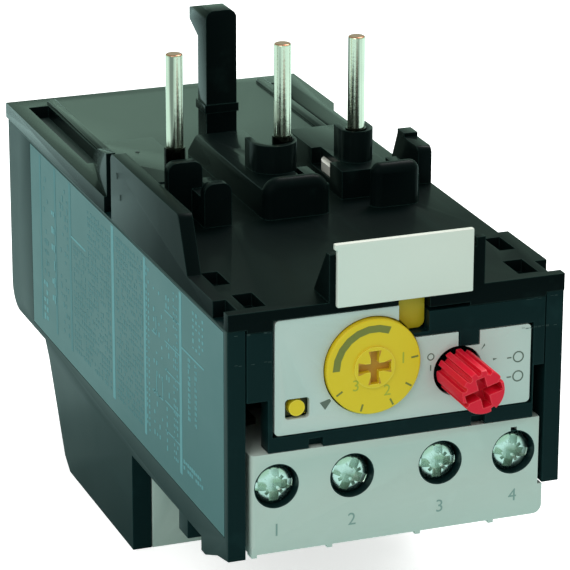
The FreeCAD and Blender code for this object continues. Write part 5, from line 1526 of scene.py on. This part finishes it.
@dataclass
class Mechanism:
    """The pieces inside: plunger, springs, slider, rocker, strips and windings."""

    def build(self) -> None:
        """Dress the inner pieces."""
        coat(["reset_plunger", "mechanism_chassis", "contact_rocker", "bimetal_carrier"], PALETTE["housing"])
        coat(["trip_slider"], PALETTE["tag"])
        coat(["reset_spring", "test_spring", "rocker_pin"], PALETTE["zinc"])
        coat(["contact_bridges"], PALETTE["copper"])
        coat(["compensation_strip", "bimetal_strip_1", "bimetal_strip_2", "bimetal_strip_3"], PALETTE["bimetal"])
        coat(["heater_winding_1", "heater_winding_2", "heater_winding_3"], PALETTE["wire"])
        LOG.info("mechanism: inner pieces")


@dataclass
class Studio:
    """A white floor, soft light and the camera."""

    lens: float = 212.2
    location: Point3 = (-0.15062, -0.40427, 0.18787)
    forward: Point3 = (0.33185, 0.88120, -0.33670)
    roll: float = 0.15
    floor_lift: float = 0.62

    def build(self) -> None:
        """Set up the floor, the world, the lights and the camera."""
        self._floor()
        self._world()
        self._lights()
        self._camera()
        LOG.info("studio: floor, lights and camera")

    def _floor(self) -> None:
        """Lay a white floor that keeps a soft shadow."""
        builder = MeshBuilder("floor")
        reach = 1.2
        builder.face([Vector((-reach, -reach, 0.0)), Vector((reach, -reach, 0.0)),
                      Vector((reach, reach, 0.0)), Vector((-reach, reach, 0.0))])
        made = MaterialBuilder("floor_paper")
        grain = made.group(GROUPS.grain, Grain_Size=0.8, Cloud_Size=60.0)
        path = made.node("ShaderNodeLightPath")
        paper = made.mix(grain.outputs["Cloud"], (0.93, 0.93, 0.93), (0.96, 0.96, 0.96))
        made.link(made.mix(path.outputs["Is Camera Ray"], (0.58, 0.84, 0.81), paper),
                  made.shader.inputs["Base Color"])
        made.shader.inputs["Roughness"].default_value = 0.9
        made.shader.inputs["Specular IOR Level"].default_value = 0.1
        made.shader.inputs["Emission Color"].default_value = (1.0, 0.97, 0.97, 1.0)
        lift = made.node("ShaderNodeMath", operation="MULTIPLY")
        lift.inputs[1].default_value = self.floor_lift
        made.link(path.outputs["Is Camera Ray"], lift.inputs[0])
        made.link(lift.outputs[0], made.shader.inputs["Emission Strength"])
        floor = builder.finish([made.material])

    def _world(self) -> None:
        """Light the scene evenly, and show white wherever the camera looks past the floor."""
        world = bpy.data.worlds.new("studio")
        world.use_nodes = True
        tree = world.node_tree
        tree.nodes.clear()
        output = tree.nodes.new("ShaderNodeOutputWorld")
        light = tree.nodes.new("ShaderNodeBackground")
        light.inputs["Color"].default_value = (0.92, 1.0, 0.97, 1.0)
        light.inputs["Strength"].default_value = 0.7
        backdrop = tree.nodes.new("ShaderNodeBackground")
        backdrop.inputs["Color"].default_value = (0.50, 0.80, 0.63, 1.0)
        white = tree.nodes.new("ShaderNodeBackground")
        white.inputs["Color"].default_value = (1.0, 1.0, 1.0, 1.0)
        path = tree.nodes.new("ShaderNodeLightPath")
        glossy = tree.nodes.new("ShaderNodeMixShader")
        tree.links.new(path.outputs["Is Glossy Ray"], glossy.inputs[0])
        tree.links.new(light.outputs["Background"], glossy.inputs[1])
        tree.links.new(backdrop.outputs["Background"], glossy.inputs[2])
        mix = tree.nodes.new("ShaderNodeMixShader")
        tree.links.new(path.outputs["Is Camera Ray"], mix.inputs[0])
        tree.links.new(glossy.outputs[0], mix.inputs[1])
        tree.links.new(white.outputs["Background"], mix.inputs[2])
        tree.links.new(mix.outputs[0], output.inputs["Surface"])
        bpy.context.scene.world = world

    def _lights(self) -> None:
        """Hang one large soft light behind and to the right, and a weak one in front."""
        for name, place, size, power in (("key", (0.45, 0.30, 0.85), 0.45, 6.0),
                                         ("fill", (-0.65, -0.55, 0.75), 0.6, 3.0)):
            data = bpy.data.lights.new(name, "AREA")
            data.size = size
            data.energy = power
            lamp = bpy.data.objects.new(name, data)
            lamp.location = place
            aim = Vector((0.0, 0.0, 0.03)) - Vector(place)
            lamp.rotation_euler = aim.to_track_quat("-Z", "Y").to_euler()
            bpy.context.scene.collection.objects.link(lamp)

    def _camera(self) -> None:
        """Place the camera."""
        data = bpy.data.cameras.new("camera")
        data.lens = self.lens
        data.sensor_width = 36.0
        data.clip_start = 0.01
        camera = bpy.data.objects.new("camera", data)
        turn = Vector(self.forward).to_track_quat("-Z", "Y").to_matrix()
        turn = turn @ Matrix.Rotation(math.radians(self.roll), 3, "Z")
        camera.matrix_world = Matrix.Translation(Vector(self.location)) @ turn.to_4x4()
        bpy.context.scene.collection.objects.link(camera)
        bpy.context.scene.camera = camera


def main() -> None:
    """Dress the whole relay and set up the studio."""
    logging.basicConfig(level=logging.INFO, format="%(name)s: %(message)s")
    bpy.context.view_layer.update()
    Housing().build()
    SideLabel().build()
    Terminals().build()
    Pins().build()
    Controls().build()
    Mechanism().build()
    Studio().build()
    scene = bpy.context.scene
    scene.render.resolution_x = 570
    scene.render.resolution_y = 570
    scene.view_settings.view_transform = "Standard"


if __name__ == "__main__":
    main()
